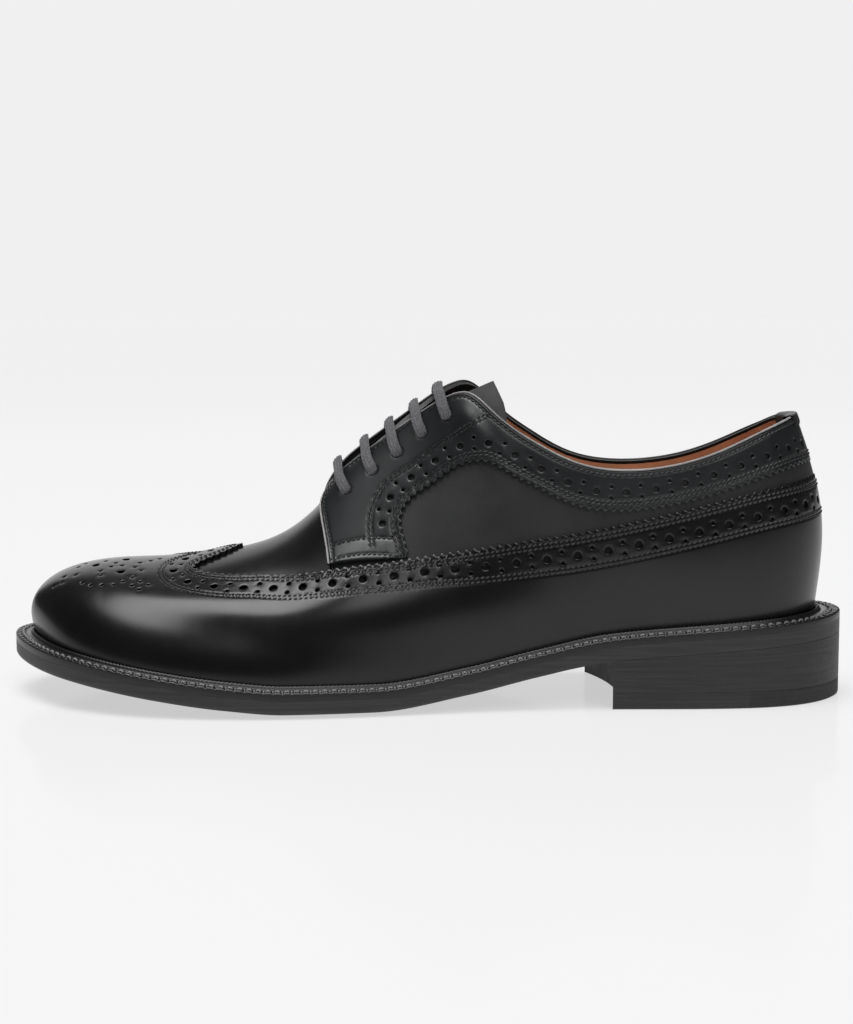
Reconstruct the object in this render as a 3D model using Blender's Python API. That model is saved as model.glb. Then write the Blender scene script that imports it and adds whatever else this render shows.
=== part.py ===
"""Left brogue derby: sole, heel, hollow upper, overlays, tongue and lace bars.

Sizes are in millimetres and MM turns them into metres. X runs from toe to heel, Y from the outer to the
inner side of the foot and Z up from the floor.
"""

import bmesh
import bpy
import numpy as np

MM = 0.001
OUTER = -1
INNER = 1
SIDES = (OUTER, INNER)

# Sole sizes
OUTSOLE_THICK = 5.0
INSOLE_THICK = 3.0
LIFT_THICK = 6.0
CLEARANCE = 0.3
CROWN = 1.4
TOE_TIP = (-152.5, 7.0)
HEEL_BACK = (152.5, 0.0)
EDGE_PLAN = [
    # x, outer y, inner y of the sole's edge
    (-147.0, -12.5, 25.5),
    (-132.0, -33.0, 42.0),
    (-106.0, -47.5, 51.2),
    (-70.0, -53.0, 52.0),
    (-30.0, -50.0, 41.5),
    (15.0, -41.0, 31.0),
    (60.0, -36.0, 32.5),
    (105.0, -35.0, 34.5),
    (139.0, -24.5, 24.5),
]
EDGE_PROFILE = [
    # x, height of the edge's underside above the floor
    (-152.5, 14.0),
    (-125.0, 10.5),
    (-95.0, 6.2),
    (-70.0, 3.1),
    (-48.0, 1.4),
    (-18.0, 1.4),
    (15.0, 6.2),
    (40.0, 11.9),
    (66.0, 17.2),
    (105.0, 20.4),
    (152.5, 23.4),
]
CROWN_SHARE = [
    # x, share of the crown by which the underside's middle hangs below its edge
    (-152.5, 0.0),
    (-110.0, 1.0),
    (-48.0, 1.0),
    (-18.0, 1.0),
    (40.0, 0.0),
    (152.5, 0.0),
]
WELT_INSET = [
    # side fraction, distance from the sole's edge to the upper
    (0.0, 7.8),
    (0.3, 7.4),
    (0.55, 6.0),
    (0.8, 6.4),
    (1.0, 10.2),
]
WELT_SECTION = [
    # share of the way from the sole's edge to the upper, height above the welt's underside
    (0.0, 0.0),
    (0.0, 2.2),
    (0.06, 2.8),
    (0.66, 2.8),
    (0.74, 3.8),
    (0.92, 3.8),
    (0.92, 0.0),
]

# Heel sizes
BREAST_OUTER_X = 66.0
BREAST_INNER_X = 61.5
BREAST_HOLLOW = 6.5
RUBBER_X = 115.0

# Upper sizes
WALL = 1.9
OVERLAY = 1.0
OVERLAY_GAP = 0.65
FORM = [
    # side fraction, top x, top z, ridge y, half width, out, up, reach, drop
    (0.000, -144.6, 16.8, 7.0, 0.0, 0.0, 0.0, 0.0, 0.0),
    (0.035, -146.8, 28.0, 7.0, 0.0, 1.0, 7.0, 7.0, 0.0),
    (0.075, -144.0, 37.0, 7.0, 0.0, 1.8, 12.0, 12.0, 0.0),
    (0.120, -135.0, 43.8, 7.0, 0.0, 2.5, 16.0, 16.0, 0.0),
    (0.180, -117.0, 48.1, 6.6, 0.0, 3.2, 19.0, 19.5, 0.0),
    (0.250, -94.0, 49.4, 6.0, 0.0, 3.8, 21.0, 20.5, 0.0),
    (0.320, -70.0, 53.6, 5.5, 0.0, 4.0, 24.0, 19.0, 0.0),
    (0.390, -47.0, 63.5, 5.0, 0.0, 4.0, 28.0, 17.0, 0.5),
    (0.450, -26.0, 84.5, 4.5, 0.0, 4.0, 33.0, 16.0, 3.0),
    (0.510, -6.0, 102.5, 4.0, 3.5, 4.0, 36.0, 12.0, 6.5),
    (0.565, 12.0, 113.5, 3.0, 10.5, 4.0, 35.5, 8.5, 12.0),
    (0.620, 27.5, 104.5, 2.0, 19.5, 4.0, 32.5, 8.0, 18.0),
    (0.680, 47.0, 89.5, 0.8, 26.0, 4.5, 29.0, 5.0, 22.0),
    (0.750, 71.0, 84.3, 0.0, 28.5, 5.0, 27.0, 3.0, 22.0),
    (0.830, 98.0, 88.6, 0.0, 27.0, 5.2, 27.0, 3.5, 24.0),
    (0.910, 121.0, 98.0, 0.0, 20.5, 5.0, 29.5, 8.0, 30.0),
    (1.000, 134.8, 102.6, 0.0, 0.0, 4.5, 32.0, 13.0, 34.0),
]
RIDGE_END = 0.45
COLLAR_START = 0.56
COLLAR_FULL = 0.66
FACING = [
    # rim side fraction, rim height fraction, saw-tooth edge side fraction, its height fraction
    (0.427, 0.488, 0.505, 0.396),
    (0.420, 0.602, 0.501, 0.451),
    (0.418, 0.734, 0.497, 0.507),
    (0.420, 0.835, 0.500, 0.549),
    (0.430, 0.910, 0.506, 0.566),
    (0.445, 0.925, 0.512, 0.577),
    (0.470, 0.916, 0.522, 0.583),
    (0.500, 0.922, 0.536, 0.594),
    (0.530, 0.926, 0.554, 0.618),
    (0.553, 0.930, 0.566, 0.634),
    (0.567, 0.941, 0.578, 0.650),
    (0.580, 0.946, 0.587, 0.664),
    (0.596, 0.936, 0.597, 0.678),
    (0.612, 0.934, 0.614, 0.693),
    (0.634, 0.955, 0.634, 0.713),
    (0.658, 0.984, 0.657, 0.742),
    (0.690, 1.000, 0.690, 0.757),
    (0.750, 1.000, 0.742, 0.766),
    (0.820, 1.000, 0.815, 0.793),
    (0.885, 1.000, 0.880, 0.807),
    (0.940, 1.000, 0.938, 0.819),
    (0.970, 1.000, 0.969, 0.820),
    (0.998, 1.000, 0.998, 0.820),
]
THROAT_ROW = 4
THROAT = 0.436
FACING_STAND = 3.2
STAND_SHARE_BELOW = 0.3
STAND_ALONG = (0.42, 0.54)
STAND_UP = (0.5, 0.87)
WING_EDGE = [
    # x, height of the wing's saw-tooth edge
    (-84.2, 47.9),
    (-82.0, 46.6),
    (-76.5, 45.8),
    (-69.0, 45.3),
    (-59.5, 45.8),
    (-49.5, 46.8),
    (-34.7, 49.0),
    (-7.0, 52.6),
    (27.5, 57.8),
    (58.0, 62.7),
    (89.4, 69.4),
    (122.0, 77.0),
    (141.0, 80.0),
]
WING_FORK = 0.278
WING_PEAK = 0.325
WING_CURVE = 0.85
WING_CLEAR = 4.4
EYELETS = [
    # side fraction, height fraction
    (0.444, 0.757),
    (0.471, 0.757),
    (0.497, 0.770),
    (0.523, 0.792),
    (0.550, 0.817),
]
EYELET_RADIUS = 2.3
PUNCH_REACH = 9.0
TAB_FRONT = 0.962
TAB_FOOT = 0.962
TAB_GAP = 0.35
TAB_THICK = 0.7
TONGUE_DEPTH = 2.2
TONGUE_THICK = 2.2
TONGUE_EDGE = [
    # side fraction, height fraction of the tongue's edge under the quarter, rise of its arch
    (0.415, 0.78, 0.50),
    (0.460, 0.64, 0.80),
    (0.530, 0.66, 0.90),
    (0.560, 0.70, 0.88),
]
TONGUE_LEAN = (0.915, 0.0, 0.4)
TONGUE_TIP = [
    # distance beyond the last section, share of its breadth, backward slant of its sides
    (4.5, 1.0, 0.1),
    (9.0, 0.98, 0.2),
    (12.5, 0.92, 0.3),
    (14.5, 0.76, 0.4),
]
LACE_WIDTH = 3.4
LACE_THICK = 1.3
LACE_KNOTS = [
    # height fraction above the eyelet, height above the facing
    (0.0, 0.6),
    (0.035, 2.1),
]
LACE_OVER_RIM = 1.9
LACE_HIDDEN = -4.6
LACE_ARCH = 3.0
LACE_LEAN = 2.6

# Mesh fineness
CLIMB_STEP = 1e-4
EDGE_STEPS = 38
COLUMNS = [
    # first side fraction, last side fraction, number of mesh columns between them
    (0.0, WING_FORK, 11),
    (WING_FORK, WING_PEAK, 4),
    (WING_PEAK, THROAT, 6),
    (THROAT, 0.55, 5),
    (0.55, 0.63, 6),
    (0.63, 0.88, 9),
    (0.88, 1.0, 9),
]
SOLE_SHARES = (0.0, 0.14, 0.5, 0.86, 1.0)
HEEL_STEPS = 12
HEEL_SHARES = (0.0, 1 / 3, 2 / 3, 1.0)
TIP_SHARES = (0.0, 2 / 3, 1.0)
LIFT_STEPS = 6
LIFT_ROWS = 11
LOW_ROWS = 7
TOP_ROWS = 2
WING_LOW_ROWS = 4
WING_TOP_ROWS = 3
FACING_STEPS = 42
FACING_ROWS = 5
TAB_STEPS = 5
TAB_ROWS = 3
TONGUE_STEPS = 10
TONGUE_ROWS = 9
PUNCH_SIDES = 8
LACE_STEPS = 15
LACE_SIDES = 6

COLOURS = {
    # name: red, green, blue, roughness
    "black_leather": (0.012, 0.012, 0.014, 0.3),
    "grain_leather": (0.02, 0.02, 0.022, 0.45),
    "sole_leather": (0.03, 0.029, 0.028, 0.5),
    "stack_leather": (0.028, 0.027, 0.027, 0.5),
    "rubber": (0.012, 0.012, 0.012, 0.7),
    "tan_leather": (0.3, 0.16, 0.085, 0.55),
    "tongue_leather": (0.05, 0.05, 0.052, 0.6),
    "lace_cotton": (0.03, 0.032, 0.034, 0.85),
}


def spline(knots, values, end_slope=None, period=None):
    """A cubic spline through the values; it gives the curve, or its slope with order 1."""
    x = np.asarray(knots, float)
    y = np.asarray(values, float).reshape(len(x), -1)
    if period is not None:
        x = np.append(x, x[0] + period)
        y = np.vstack([y, y[:1]])
    count = len(x)
    h = np.diff(x)
    slope = np.diff(y, axis=0) / h[:, None]
    system = np.eye(count)
    right = np.zeros_like(y)
    for i in range(1, count - 1):
        system[i, i - 1:i + 2] = h[i - 1], 2 * (h[i - 1] + h[i]), h[i]
        right[i] = 6 * (slope[i] - slope[i - 1])
    if period is not None:
        system[0, [0, 1, -2]] = 2 * (h[0] + h[-1]), h[0], h[-1]
        right[0] = 6 * (slope[0] - slope[-1])
        system[-1, [0, -1]] = -1, 1
    elif end_slope is not None:
        system[-1, -2:] = h[-1], 2 * h[-1]
        right[-1] = 6 * (end_slope - slope[-1])
    bend = np.linalg.solve(system, right)

    def curve(at, order=0):
        at = np.asarray(at, float)
        if period is not None:
            at = x[0] + (at - x[0]) % period
        i = np.clip(np.searchsorted(x, at, side="right") - 1, 0, count - 2)
        a = (x[i + 1] - at)[..., None]
        b = (at - x[i])[..., None]
        w = h[i][..., None]
        if order == 1:
            bow = (bend[i + 1] * b**2 - bend[i] * a**2) / (2 * w)
            return bow + (y[i + 1] - y[i]) / w - (bend[i + 1] - bend[i]) * w / 6
        bow = (bend[i] * a**3 + bend[i + 1] * b**3) / (6 * w)
        return bow + (y[i] / w - bend[i] * w / 6) * a + (y[i + 1] / w - bend[i + 1] * w / 6) * b

    return curve


def smooth_table(rows, column=1):
    """A curve through a table's column that adds no humps between the rows."""
    x = np.array([row[0] for row in rows], float)
    y = np.array([row[column] for row in rows], float)
    h = np.diff(x)
    rise = np.diff(y) / h
    slope = np.zeros_like(y)
    slope[0] = rise[0]
    slope[-1] = rise[-1]
    for i in range(1, len(x) - 1):
        if rise[i - 1] * rise[i] > 0:
            before = 2 * h[i] + h[i - 1]
            after = h[i] + 2 * h[i - 1]
            slope[i] = (before + after) / (before / rise[i - 1] + after / rise[i])

    def curve(at):
        at = np.asarray(at, float)
        i = np.clip(np.searchsorted(x, at, side="right") - 1, 0, len(x) - 2)
        s = (at - x[i]) / h[i]
        start = (1 + 2 * s) * (1 - s)**2 * y[i] + s * (1 - s)**2 * h[i] * slope[i]
        return start + s * s * (3 - 2 * s) * y[i + 1] + s * s * (s - 1) * h[i] * slope[i + 1]

    return curve


def ease(start, end, at):
    """0 before start, 1 after end, smooth between."""
    s = np.clip((np.asarray(at, float) - start) / (end - start), 0, 1)
    return s * s * (3 - 2 * s)


# Curves of the sole's edge and of the form
RING = np.array(
    [TOE_TIP]
    + [(x, outer) for x, outer, inner in EDGE_PLAN]
    + [HEEL_BACK]
    + [(x, inner) for x, outer, inner in reversed(EDGE_PLAN)]
)
RING_STEPS = np.linalg.norm(np.roll(RING, -1, axis=0) - RING, axis=1)
RING_LENGTH = RING_STEPS.sum()
RING_AT = np.cumsum(RING_STEPS) - RING_STEPS
HEEL_AT = RING_AT[len(EDGE_PLAN) + 1]
edge_curve = spline(RING_AT, RING, period=RING_LENGTH)
edge_height = smooth_table(EDGE_PROFILE)
crown_share = smooth_table(CROWN_SHARE)
welt_inset = smooth_table(WELT_INSET)
form_top = spline([row[0] for row in FORM], [row[1:4] for row in FORM], end_slope=0.0)
form_width = smooth_table(FORM, 4)
form_handles = spline([row[0] for row in FORM], [row[5:9] for row in FORM], end_slope=0.0)
wing_height = smooth_table(WING_EDGE)
rim_rows = [(0.0, FACING[THROAT_ROW][1])] + [row[:2] for row in FACING[THROAT_ROW:]] + [(1.0, 1.0)]
rim_height = smooth_table(rim_rows)
tongue_edge = smooth_table(TONGUE_EDGE)
tongue_arch = smooth_table(TONGUE_EDGE, 2)
facing_curve = spline(range(len(FACING)), FACING)


def sole_edge(t, side, inward=0.0):
    """Plan points of the sole's edge at side fractions t, moved inward, with their outward normals."""
    t = np.asarray(t, float)
    at = t * HEEL_AT if side == OUTER else RING_LENGTH - t * (RING_LENGTH - HEEL_AT)
    slope = edge_curve(at, 1)
    slope = slope / np.linalg.norm(slope, axis=-1, keepdims=True)
    out = np.stack([slope[..., 1], -slope[..., 0]], -1)
    inward = np.broadcast_to(np.asarray(inward, float), t.shape)
    return edge_curve(at) - out * inward[..., None], out


def form(t, v, side):
    """Point of the skin at side fraction t (toe to heel) and height fraction v (welt to top)."""
    t, v = np.broadcast_arrays(np.asarray(t, float), np.asarray(v, float))
    foot, out = sole_edge(t, side, welt_inset(t))
    seat = edge_height(foot[..., 0]) + OUTSOLE_THICK + CLEARANCE
    out = np.concatenate([out, np.zeros(t.shape + (1,))], -1)
    up = np.array([0.0, 0.0, 1.0])
    top = form_top(t)
    handles = form_handles(t)
    p0 = np.concatenate([foot, seat[..., None]], -1)
    p1 = p0 + handles[..., 0:1] * out + handles[..., 1:2] * up
    p3 = np.stack([top[..., 0], top[..., 2] + side * form_width(t), top[..., 1]], -1)
    turn = ease(COLLAR_START, COLLAR_FULL, t)[..., None]
    aside = (1 - turn) * np.array([0.0, side, 0.0]) + turn * out
    aside = aside / np.linalg.norm(aside, axis=-1, keepdims=True)
    p2 = p3 + handles[..., 2:3] * aside - handles[..., 3:4] * up
    v = v[..., None]
    return (1 - v)**3 * p0 + 3 * v * (1 - v)**2 * p1 + 3 * v**2 * (1 - v) * p2 + v**3 * p3


def form_normal(t, v, side):
    """Outward unit normals of the skin; on the ridge and the heel seam they lie in the middle plane."""
    step = CLIMB_STEP
    t, v = np.broadcast_arrays(np.asarray(t, float), np.asarray(v, float))
    seam = t > 1 - step / 2
    ridge = (v >= 1) & (t <= RIDGE_END)
    near = np.clip(t, 0.004, 1 - step)
    along = form(near + step, v, side) - form(near - step, v, side)
    here = np.where(seam, t, near)
    climb = form(here, np.minimum(v + step, 1), side) - form(here, np.maximum(v - step, 0), side)
    normal = np.cross(climb, along) * side
    flat = np.zeros_like(t)
    on_ridge = np.stack([-along[..., 2], flat, along[..., 0]], -1)
    on_seam = np.stack([climb[..., 2], flat, -climb[..., 0]], -1)
    normal = np.where(ridge[..., None], on_ridge, np.where(seam[..., None], on_seam, normal))
    return normal / np.linalg.norm(normal, axis=-1, keepdims=True)


def layer(t, v, side, level):
    """Points at a level outward of the skin (negative is inward)."""
    t, v = np.broadcast_arrays(np.asarray(t, float), np.asarray(v, float))
    level = np.broadcast_to(np.asarray(level, float), t.shape)
    return form(t, v, side) + form_normal(t, v, side) * level[..., None]


def height_at(t, side, wanted):
    """Height fraction at which each column of the skin reaches the wanted height (a function of x)."""
    low = np.zeros_like(t)
    high = np.ones_like(t)
    for _ in range(40):
        middle = (low + high) / 2
        point = form(t, middle, side)
        below = point[..., 2] < wanted(point[..., 0])
        low = np.where(below, middle, low)
        high = np.where(below, high, middle)
    return (low + high) / 2


def columns(first, last):
    """Side fractions of the mesh columns from first to last."""
    parts = [np.linspace(start, end, count, endpoint=False) for start, end, count in COLUMNS]
    found = np.append(np.concatenate(parts), 1.0)
    return found[(found > first - 1e-9) & (found < last + 1e-9)]


def make_object(name, points, faces, colour):
    """An object of one closed mesh, with its own material."""
    mesh = bpy.data.meshes.new(name)
    mesh.from_pydata([tuple(point) for point in np.asarray(points) * MM], [], faces)
    shape = bmesh.new()
    shape.from_mesh(mesh)
    bmesh.ops.recalc_face_normals(shape, faces=shape.faces[:])
    if shape.calc_volume(signed=True) < 0:
        bmesh.ops.reverse_faces(shape, faces=shape.faces[:])
    shape.to_mesh(mesh)
    shape.free()
    material = bpy.data.materials.new(name)
    material.use_nodes = True
    shader = material.node_tree.nodes["Principled BSDF"]
    red, green, blue, roughness = COLOURS[colour]
    shader.inputs["Base Color"].default_value = (red, green, blue, 1.0)
    shader.inputs["Roughness"].default_value = roughness
    mesh.materials.append(material)
    made = bpy.data.objects.new(name, mesh)
    bpy.context.scene.collection.objects.link(made)
    return made


def shell(name, patches, colour):
    """A solid between pairs of grids: the first of each pair is its face, the second its back."""
    index = {}
    fronts = []
    backs = []
    faces = []
    for front, back in patches:
        rows, cols = front.shape[:2]
        ids = np.zeros((rows, cols), int)
        for i in range(rows):
            for j in range(cols):
                key = tuple(np.round(front[i, j], 3))
                if key not in index:
                    index[key] = len(fronts)
                    fronts.append(front[i, j])
                    backs.append(back[i, j])
                ids[i, j] = index[key]
        for i in range(rows - 1):
            for j in range(cols - 1):
                corners = [ids[i, j], ids[i + 1, j], ids[i + 1, j + 1], ids[i, j + 1]]
                corners = list(dict.fromkeys(int(corner) for corner in corners))
                if len(corners) > 2:
                    faces.append(corners)
    uses = {}
    for face in faces:
        for a, b in zip(face, face[1:] + face[:1]):
            key = (min(a, b), max(a, b))
            uses[key] = uses.get(key, 0) + 1
    count = len(fronts)
    rims = [[a, b, b + count, a + count] for (a, b), used in uses.items() if used == 1]
    others = [[corner + count for corner in face] for face in faces]
    return make_object(name, fronts + backs, faces + others + rims, colour)


def tube(name, rings, colour, closed=False):
    """A solid swept through rings of points, joined end to end or capped."""
    rings = np.asarray(rings)
    count, around = rings.shape[:2]
    faces = []
    for i in range(count if closed else count - 1):
        for j in range(around):
            a = i * around
            b = (i + 1) % count * around
            k = (j + 1) % around
            faces.append([a + j, b + j, b + k, a + k])
    if not closed:
        faces.append(list(range(around)))
        faces.append(list(range((count - 1) * around, count * around)))
    return make_object(name, rings.reshape(-1, 3), faces, colour)


def across(outer, inner, shares):
    """Rows of plan points from the outer to the inner side."""
    shares = np.asarray(shares)[None, :, None]
    return outer[:, None, :] * (1 - shares) + inner[:, None, :] * shares


def raised(plan, heights):
    """Plan points with their heights."""
    return np.concatenate([plan, np.broadcast_to(heights, plan.shape[:-1])[..., None]], -1)


def make_sole():
    """Outsole, insole and welt."""
    t = np.linspace(0, 1, EDGE_STEPS)
    plan = across(sole_edge(t, OUTER)[0], sole_edge(t, INNER)[0], SOLE_SHARES)
    edge = edge_height(plan[..., 0])
    sink = CROWN * crown_share(plan[..., 0]) * np.array([0, 1, 1, 1, 0])
    shell("outsole", [(raised(plan, edge - sink), raised(plan, edge + OUTSOLE_THICK))], "sole_leather")
    inward = welt_inset(t) + OVERLAY + OVERLAY_GAP + WALL + 2 * CLEARANCE
    plan = across(sole_edge(t, OUTER, inward)[0], sole_edge(t, INNER, inward)[0], [0.0, 0.5, 1.0])
    seat = edge_height(plan[..., 0]) + OUTSOLE_THICK + CLEARANCE
    shell("insole", [(raised(plan, seat), raised(plan, seat + INSOLE_THICK))], "tan_leather")
    rings = []
    for side in SIDES:
        steps = t[:-1] if side == OUTER else t[:0:-1]
        for step in steps:
            ring = []
            for share, height in WELT_SECTION:
                plan = sole_edge(step, side, welt_inset(step) * share)[0]
                seat = edge_height(plan[0]) + OUTSOLE_THICK + CLEARANCE
                ring.append((plan[0], plan[1], seat + height))
            rings.append(ring)
    tube("welt", rings, "sole_leather", closed=True)


def fraction_at_x(x, side):
    """Side fraction at which the sole's edge reaches x, behind the ball."""
    t = np.linspace(0.4, 1, 2000)
    return float(np.interp(x, sole_edge(t, side)[0][:, 0], t))


def make_heel():
    """Stack and top lift; the lift's rear is rubber."""
    corner = {
        OUTER: fraction_at_x(BREAST_OUTER_X, OUTER),
        INNER: fraction_at_x(BREAST_INNER_X, INNER),
    }
    edge = np.concatenate([
        sole_edge(np.linspace(corner[OUTER], 1, HEEL_STEPS), OUTER)[0],
        sole_edge(np.linspace(1, corner[INNER], HEEL_STEPS)[1:], INNER)[0],
    ])
    share = np.linspace(0, 1, len(edge))
    breast = edge[0] * (1 - share[:, None]) + edge[-1] * share[:, None]
    breast[:, 0] += 4 * BREAST_HOLLOW * share * (1 - share)
    plan = across(edge, breast, HEEL_SHARES)
    floor_top = LIFT_THICK + CLEARANCE
    seat = edge_height(plan[..., 0]) - CLEARANCE
    shell("heel_stack", [(raised(plan, floor_top), raised(plan, seat))], "stack_leather")
    joint = {side: fraction_at_x(RUBBER_X, side) for side in SIDES}
    rear = np.concatenate([
        sole_edge(np.linspace(joint[OUTER], 1, HEEL_STEPS), OUTER)[0],
        sole_edge(np.linspace(1, joint[INNER], HEEL_STEPS)[1:], INNER)[0],
    ])
    share = np.linspace(0, 1, len(rear))
    line = rear[0] * (1 - share[:, None]) + rear[-1] * share[:, None]
    plan = across(rear, line, TIP_SHARES)
    shell("rubber_tip", [(raised(plan, 0.0), raised(plan, LIFT_THICK))], "rubber")
    steps = np.linspace(0, 1, LIFT_STEPS)
    front = {side: fraction_at_x(RUBBER_X - CLEARANCE, side) for side in SIDES}
    outer = sole_edge(corner[OUTER] + (front[OUTER] - corner[OUTER]) * steps, OUTER)[0]
    inner = sole_edge(corner[INNER] + (front[INNER] - corner[INNER]) * steps, INNER)[0]
    share = np.linspace(0, 1, LIFT_ROWS)
    plan = across(outer, inner, share)
    plan[..., 0] += 4 * BREAST_HOLLOW * (share * (1 - share))[None, :] * (1 - steps)[:, None]
    shell("top_lift", [(raised(plan, 0.0), raised(plan, LIFT_THICK))], "stack_leather")


def make_upper():
    """Hollow base of vamp and quarters, open at collar, throat and underneath."""
    outside = -(OVERLAY + OVERLAY_GAP)
    inside = outside - WALL
    patches = []
    rows = np.linspace(0, 1, LOW_ROWS + 1)
    crest = np.linspace(0, 1, TOP_ROWS + 1)
    for side in SIDES:
        t = columns(0.0, 1.0)[:, None]
        v = rim_height(t) * rows[None, :]
        patches.append((layer(t, v, side, outside), layer(t, v, side, inside)))
        t = columns(0.0, THROAT)[:, None]
        v = rim_height(t) + (1 - rim_height(t)) * crest[None, :]
        patches.append((layer(t, v, side, outside), layer(t, v, side, inside)))
    for front, back in patches:
        front[0] = front[0].mean(axis=0)
        back[0] = back[0].mean(axis=0)
    for front, back in (patches[0], patches[2]):
        for grid in (front, back):
            grid[:, 0, 2] = edge_height(grid[:, 0, 0]) + OUTSOLE_THICK + CLEARANCE
    tip_front = np.mean([front[0, 0] for front, back in patches], axis=0)
    tip_back = np.mean([back[0, 0] for front, back in patches], axis=0)
    for tip in (tip_front, tip_back):
        tip[2] = edge_height(tip[0]) + OUTSOLE_THICK + CLEARANCE
    for front, back in patches:
        front[0] = tip_front
        back[0] = tip_back
    return shell("upper", patches, "grain_leather")


def wing_foot(x):
    """Height of the wing's lower edge, just above the welt."""
    return edge_height(x) + OUTSOLE_THICK + CLEARANCE + WING_CLEAR


def make_wing():
    """Long wing overlay: round the toe, a peak on the vamp, and along both sides to the heel."""
    patches = []
    low_rows = np.linspace(0, 1, WING_LOW_ROWS + 1)
    top_rows = np.linspace(0, 1, WING_TOP_ROWS + 1)
    nose = np.linspace(0, WING_FORK, 2000)
    ridge = form(nose, 1.0, OUTER)
    start = nose[ridge[:, 2] < wing_foot(ridge[:, 0])].max()
    for side in SIDES:
        cap = np.append(start, columns(start + 0.004, WING_FORK))
        bottom = height_at(cap, side, wing_foot)
        fork = height_at(np.array([WING_FORK]), side, wing_height)[0]
        share = (fork - bottom[-1]) / (1 - bottom[-1])
        middle = bottom + (1 - bottom) * share
        low = bottom[:, None] + (middle - bottom)[:, None] * low_rows
        top = middle[:, None] + (1 - middle)[:, None] * top_rows
        low[0] = 1.0
        top[0] = 1.0
        sides = columns(WING_FORK, 1.0)
        bottom = height_at(sides, side, wing_foot)
        edge = height_at(sides, side, wing_height)
        long = bottom[:, None] + (edge - bottom)[:, None] * low_rows
        peak = columns(WING_FORK, WING_PEAK)
        rise = ((peak - WING_FORK) / (WING_PEAK - WING_FORK))**WING_CURVE
        beside = fork + (1 - fork) * rise
        point = beside[:, None] + (1 - beside)[:, None] * top_rows
        for t, v in ((cap, low), (cap, top), (sides, long), (peak, point)):
            t = t[:, None]
            patches.append((layer(t, v, side, 0.0), layer(t, v, side, -OVERLAY)))
    return shell("wing", patches, "black_leather")


def facing_stand(t, v):
    """How far the facing stands off the skin near the foot of the throat."""
    return FACING_STAND * (1 - ease(*STAND_ALONG, t)) * ease(*STAND_UP, v)


def make_facing(name, side):
    """Eyestay and collar band of one side."""
    rows = facing_curve(np.linspace(0, len(FACING) - 1, FACING_STEPS))
    share = np.linspace(0, 1, FACING_ROWS)
    t = rows[:, 0:1] * (1 - share) + rows[:, 2:3] * share
    v = rows[:, 1:2] * (1 - share) + rows[:, 3:4] * share
    t = np.clip(t, 0, 0.998)
    v = np.clip(v, 0, 1)
    stand = facing_stand(t, v)
    front = layer(t, v, side, stand)
    back = layer(t, v, side, stand * STAND_SHARE_BELOW - OVERLAY)
    return shell(name, [(front, back)], "black_leather")


def make_heel_tab():
    """Small tab over the top of the heel seam."""
    patches = []
    t = np.linspace(TAB_FRONT, 1.0, TAB_STEPS)[:, None]
    v = np.linspace(TAB_FOOT, 1.0, TAB_ROWS)[None, :]
    for side in SIDES:
        patches.append((layer(t, v, side, TAB_GAP + TAB_THICK), layer(t, v, side, TAB_GAP)))
    return shell("heel_tab", patches, "black_leather")


def tongue_sheet(level):
    """Sections of the tongue at a level under the skin: arches from the outer to the inner quarter."""
    t = np.linspace(TONGUE_EDGE[0][0], TONGUE_EDGE[-1][0], TONGUE_STEPS)
    v = tongue_edge(t)
    share = np.linspace(0, 1, TONGUE_ROWS)[None, :, None]
    ends = []
    climbs = []
    for side in SIDES:
        climb = form(t, v + CLIMB_STEP, side) - form(t, v - CLIMB_STEP, side)
        climbs.append(climb / np.linalg.norm(climb, axis=1, keepdims=True))
        ends.append(layer(t, v, side, level))
    handle = np.linalg.norm(ends[1] - ends[0], axis=1, keepdims=True) * tongue_arch(t)[:, None]
    p0, p1 = ends[0][:, None], (ends[0] + climbs[0] * handle)[:, None]
    p3, p2 = ends[1][:, None], (ends[1] + climbs[1] * handle)[:, None]
    arch = (1 - share)**3 * p0 + 3 * share * (1 - share)**2 * p1
    arch = arch + 3 * share**2 * (1 - share) * p2 + share**3 * p3
    last = arch[-1]
    middle = last[TONGUE_ROWS // 2]
    tip = []
    for beyond, breadth, slant in TONGUE_TIP:
        section = middle + (last - middle) * breadth
        section[:, 0] += slant * (middle[2] - section[:, 2])
        tip.append(section + beyond * np.array(TONGUE_LEAN))
    return np.concatenate([arch, np.array(tip)])


def make_tongue():
    """Tongue under the throat, ending above the facings."""
    face = -(OVERLAY + OVERLAY_GAP + WALL + TONGUE_DEPTH)
    return shell("tongue", [(tongue_sheet(face), tongue_sheet(face - TONGUE_THICK))], "tongue_leather")


def make_eyelet_cutter(name, side):
    """Punches for the eyelets of one side."""
    points = []
    faces = []
    angles = np.linspace(0, 2 * np.pi, PUNCH_SIDES, endpoint=False)
    for t, v in EYELETS:
        middle = form(t, v, side)
        axis = form_normal(np.array(t), np.array(v), side)
        first = np.cross(axis, [1.0, 0.0, 0.0])
        first = first / np.linalg.norm(first)
        second = np.cross(axis, first)
        base = len(points)
        for level in (-PUNCH_REACH, PUNCH_REACH):
            for angle in angles:
                spoke = first * np.cos(angle) + second * np.sin(angle)
                points.append(middle + axis * level + spoke * EYELET_RADIUS)
        low = list(range(base, base + PUNCH_SIDES))
        high = list(range(base + PUNCH_SIDES, base + 2 * PUNCH_SIDES))
        faces.append(low[::-1])
        faces.append(high)
        for j in range(PUNCH_SIDES):
            k = (j + 1) % PUNCH_SIDES
            faces.append([low[j], low[k], high[k], high[j]])
    cutter = make_object(name, points, faces, "black_leather")
    cutter.hide_render = True
    cutter.display_type = "WIRE"
    return cutter


def cut(target, cutter):
    """Takes the cutter out of the target."""
    boolean = target.modifiers.new("eyelets", "BOOLEAN")
    boolean.operation = "DIFFERENCE"
    boolean.solver = "EXACT"
    boolean.object = cutter


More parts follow.
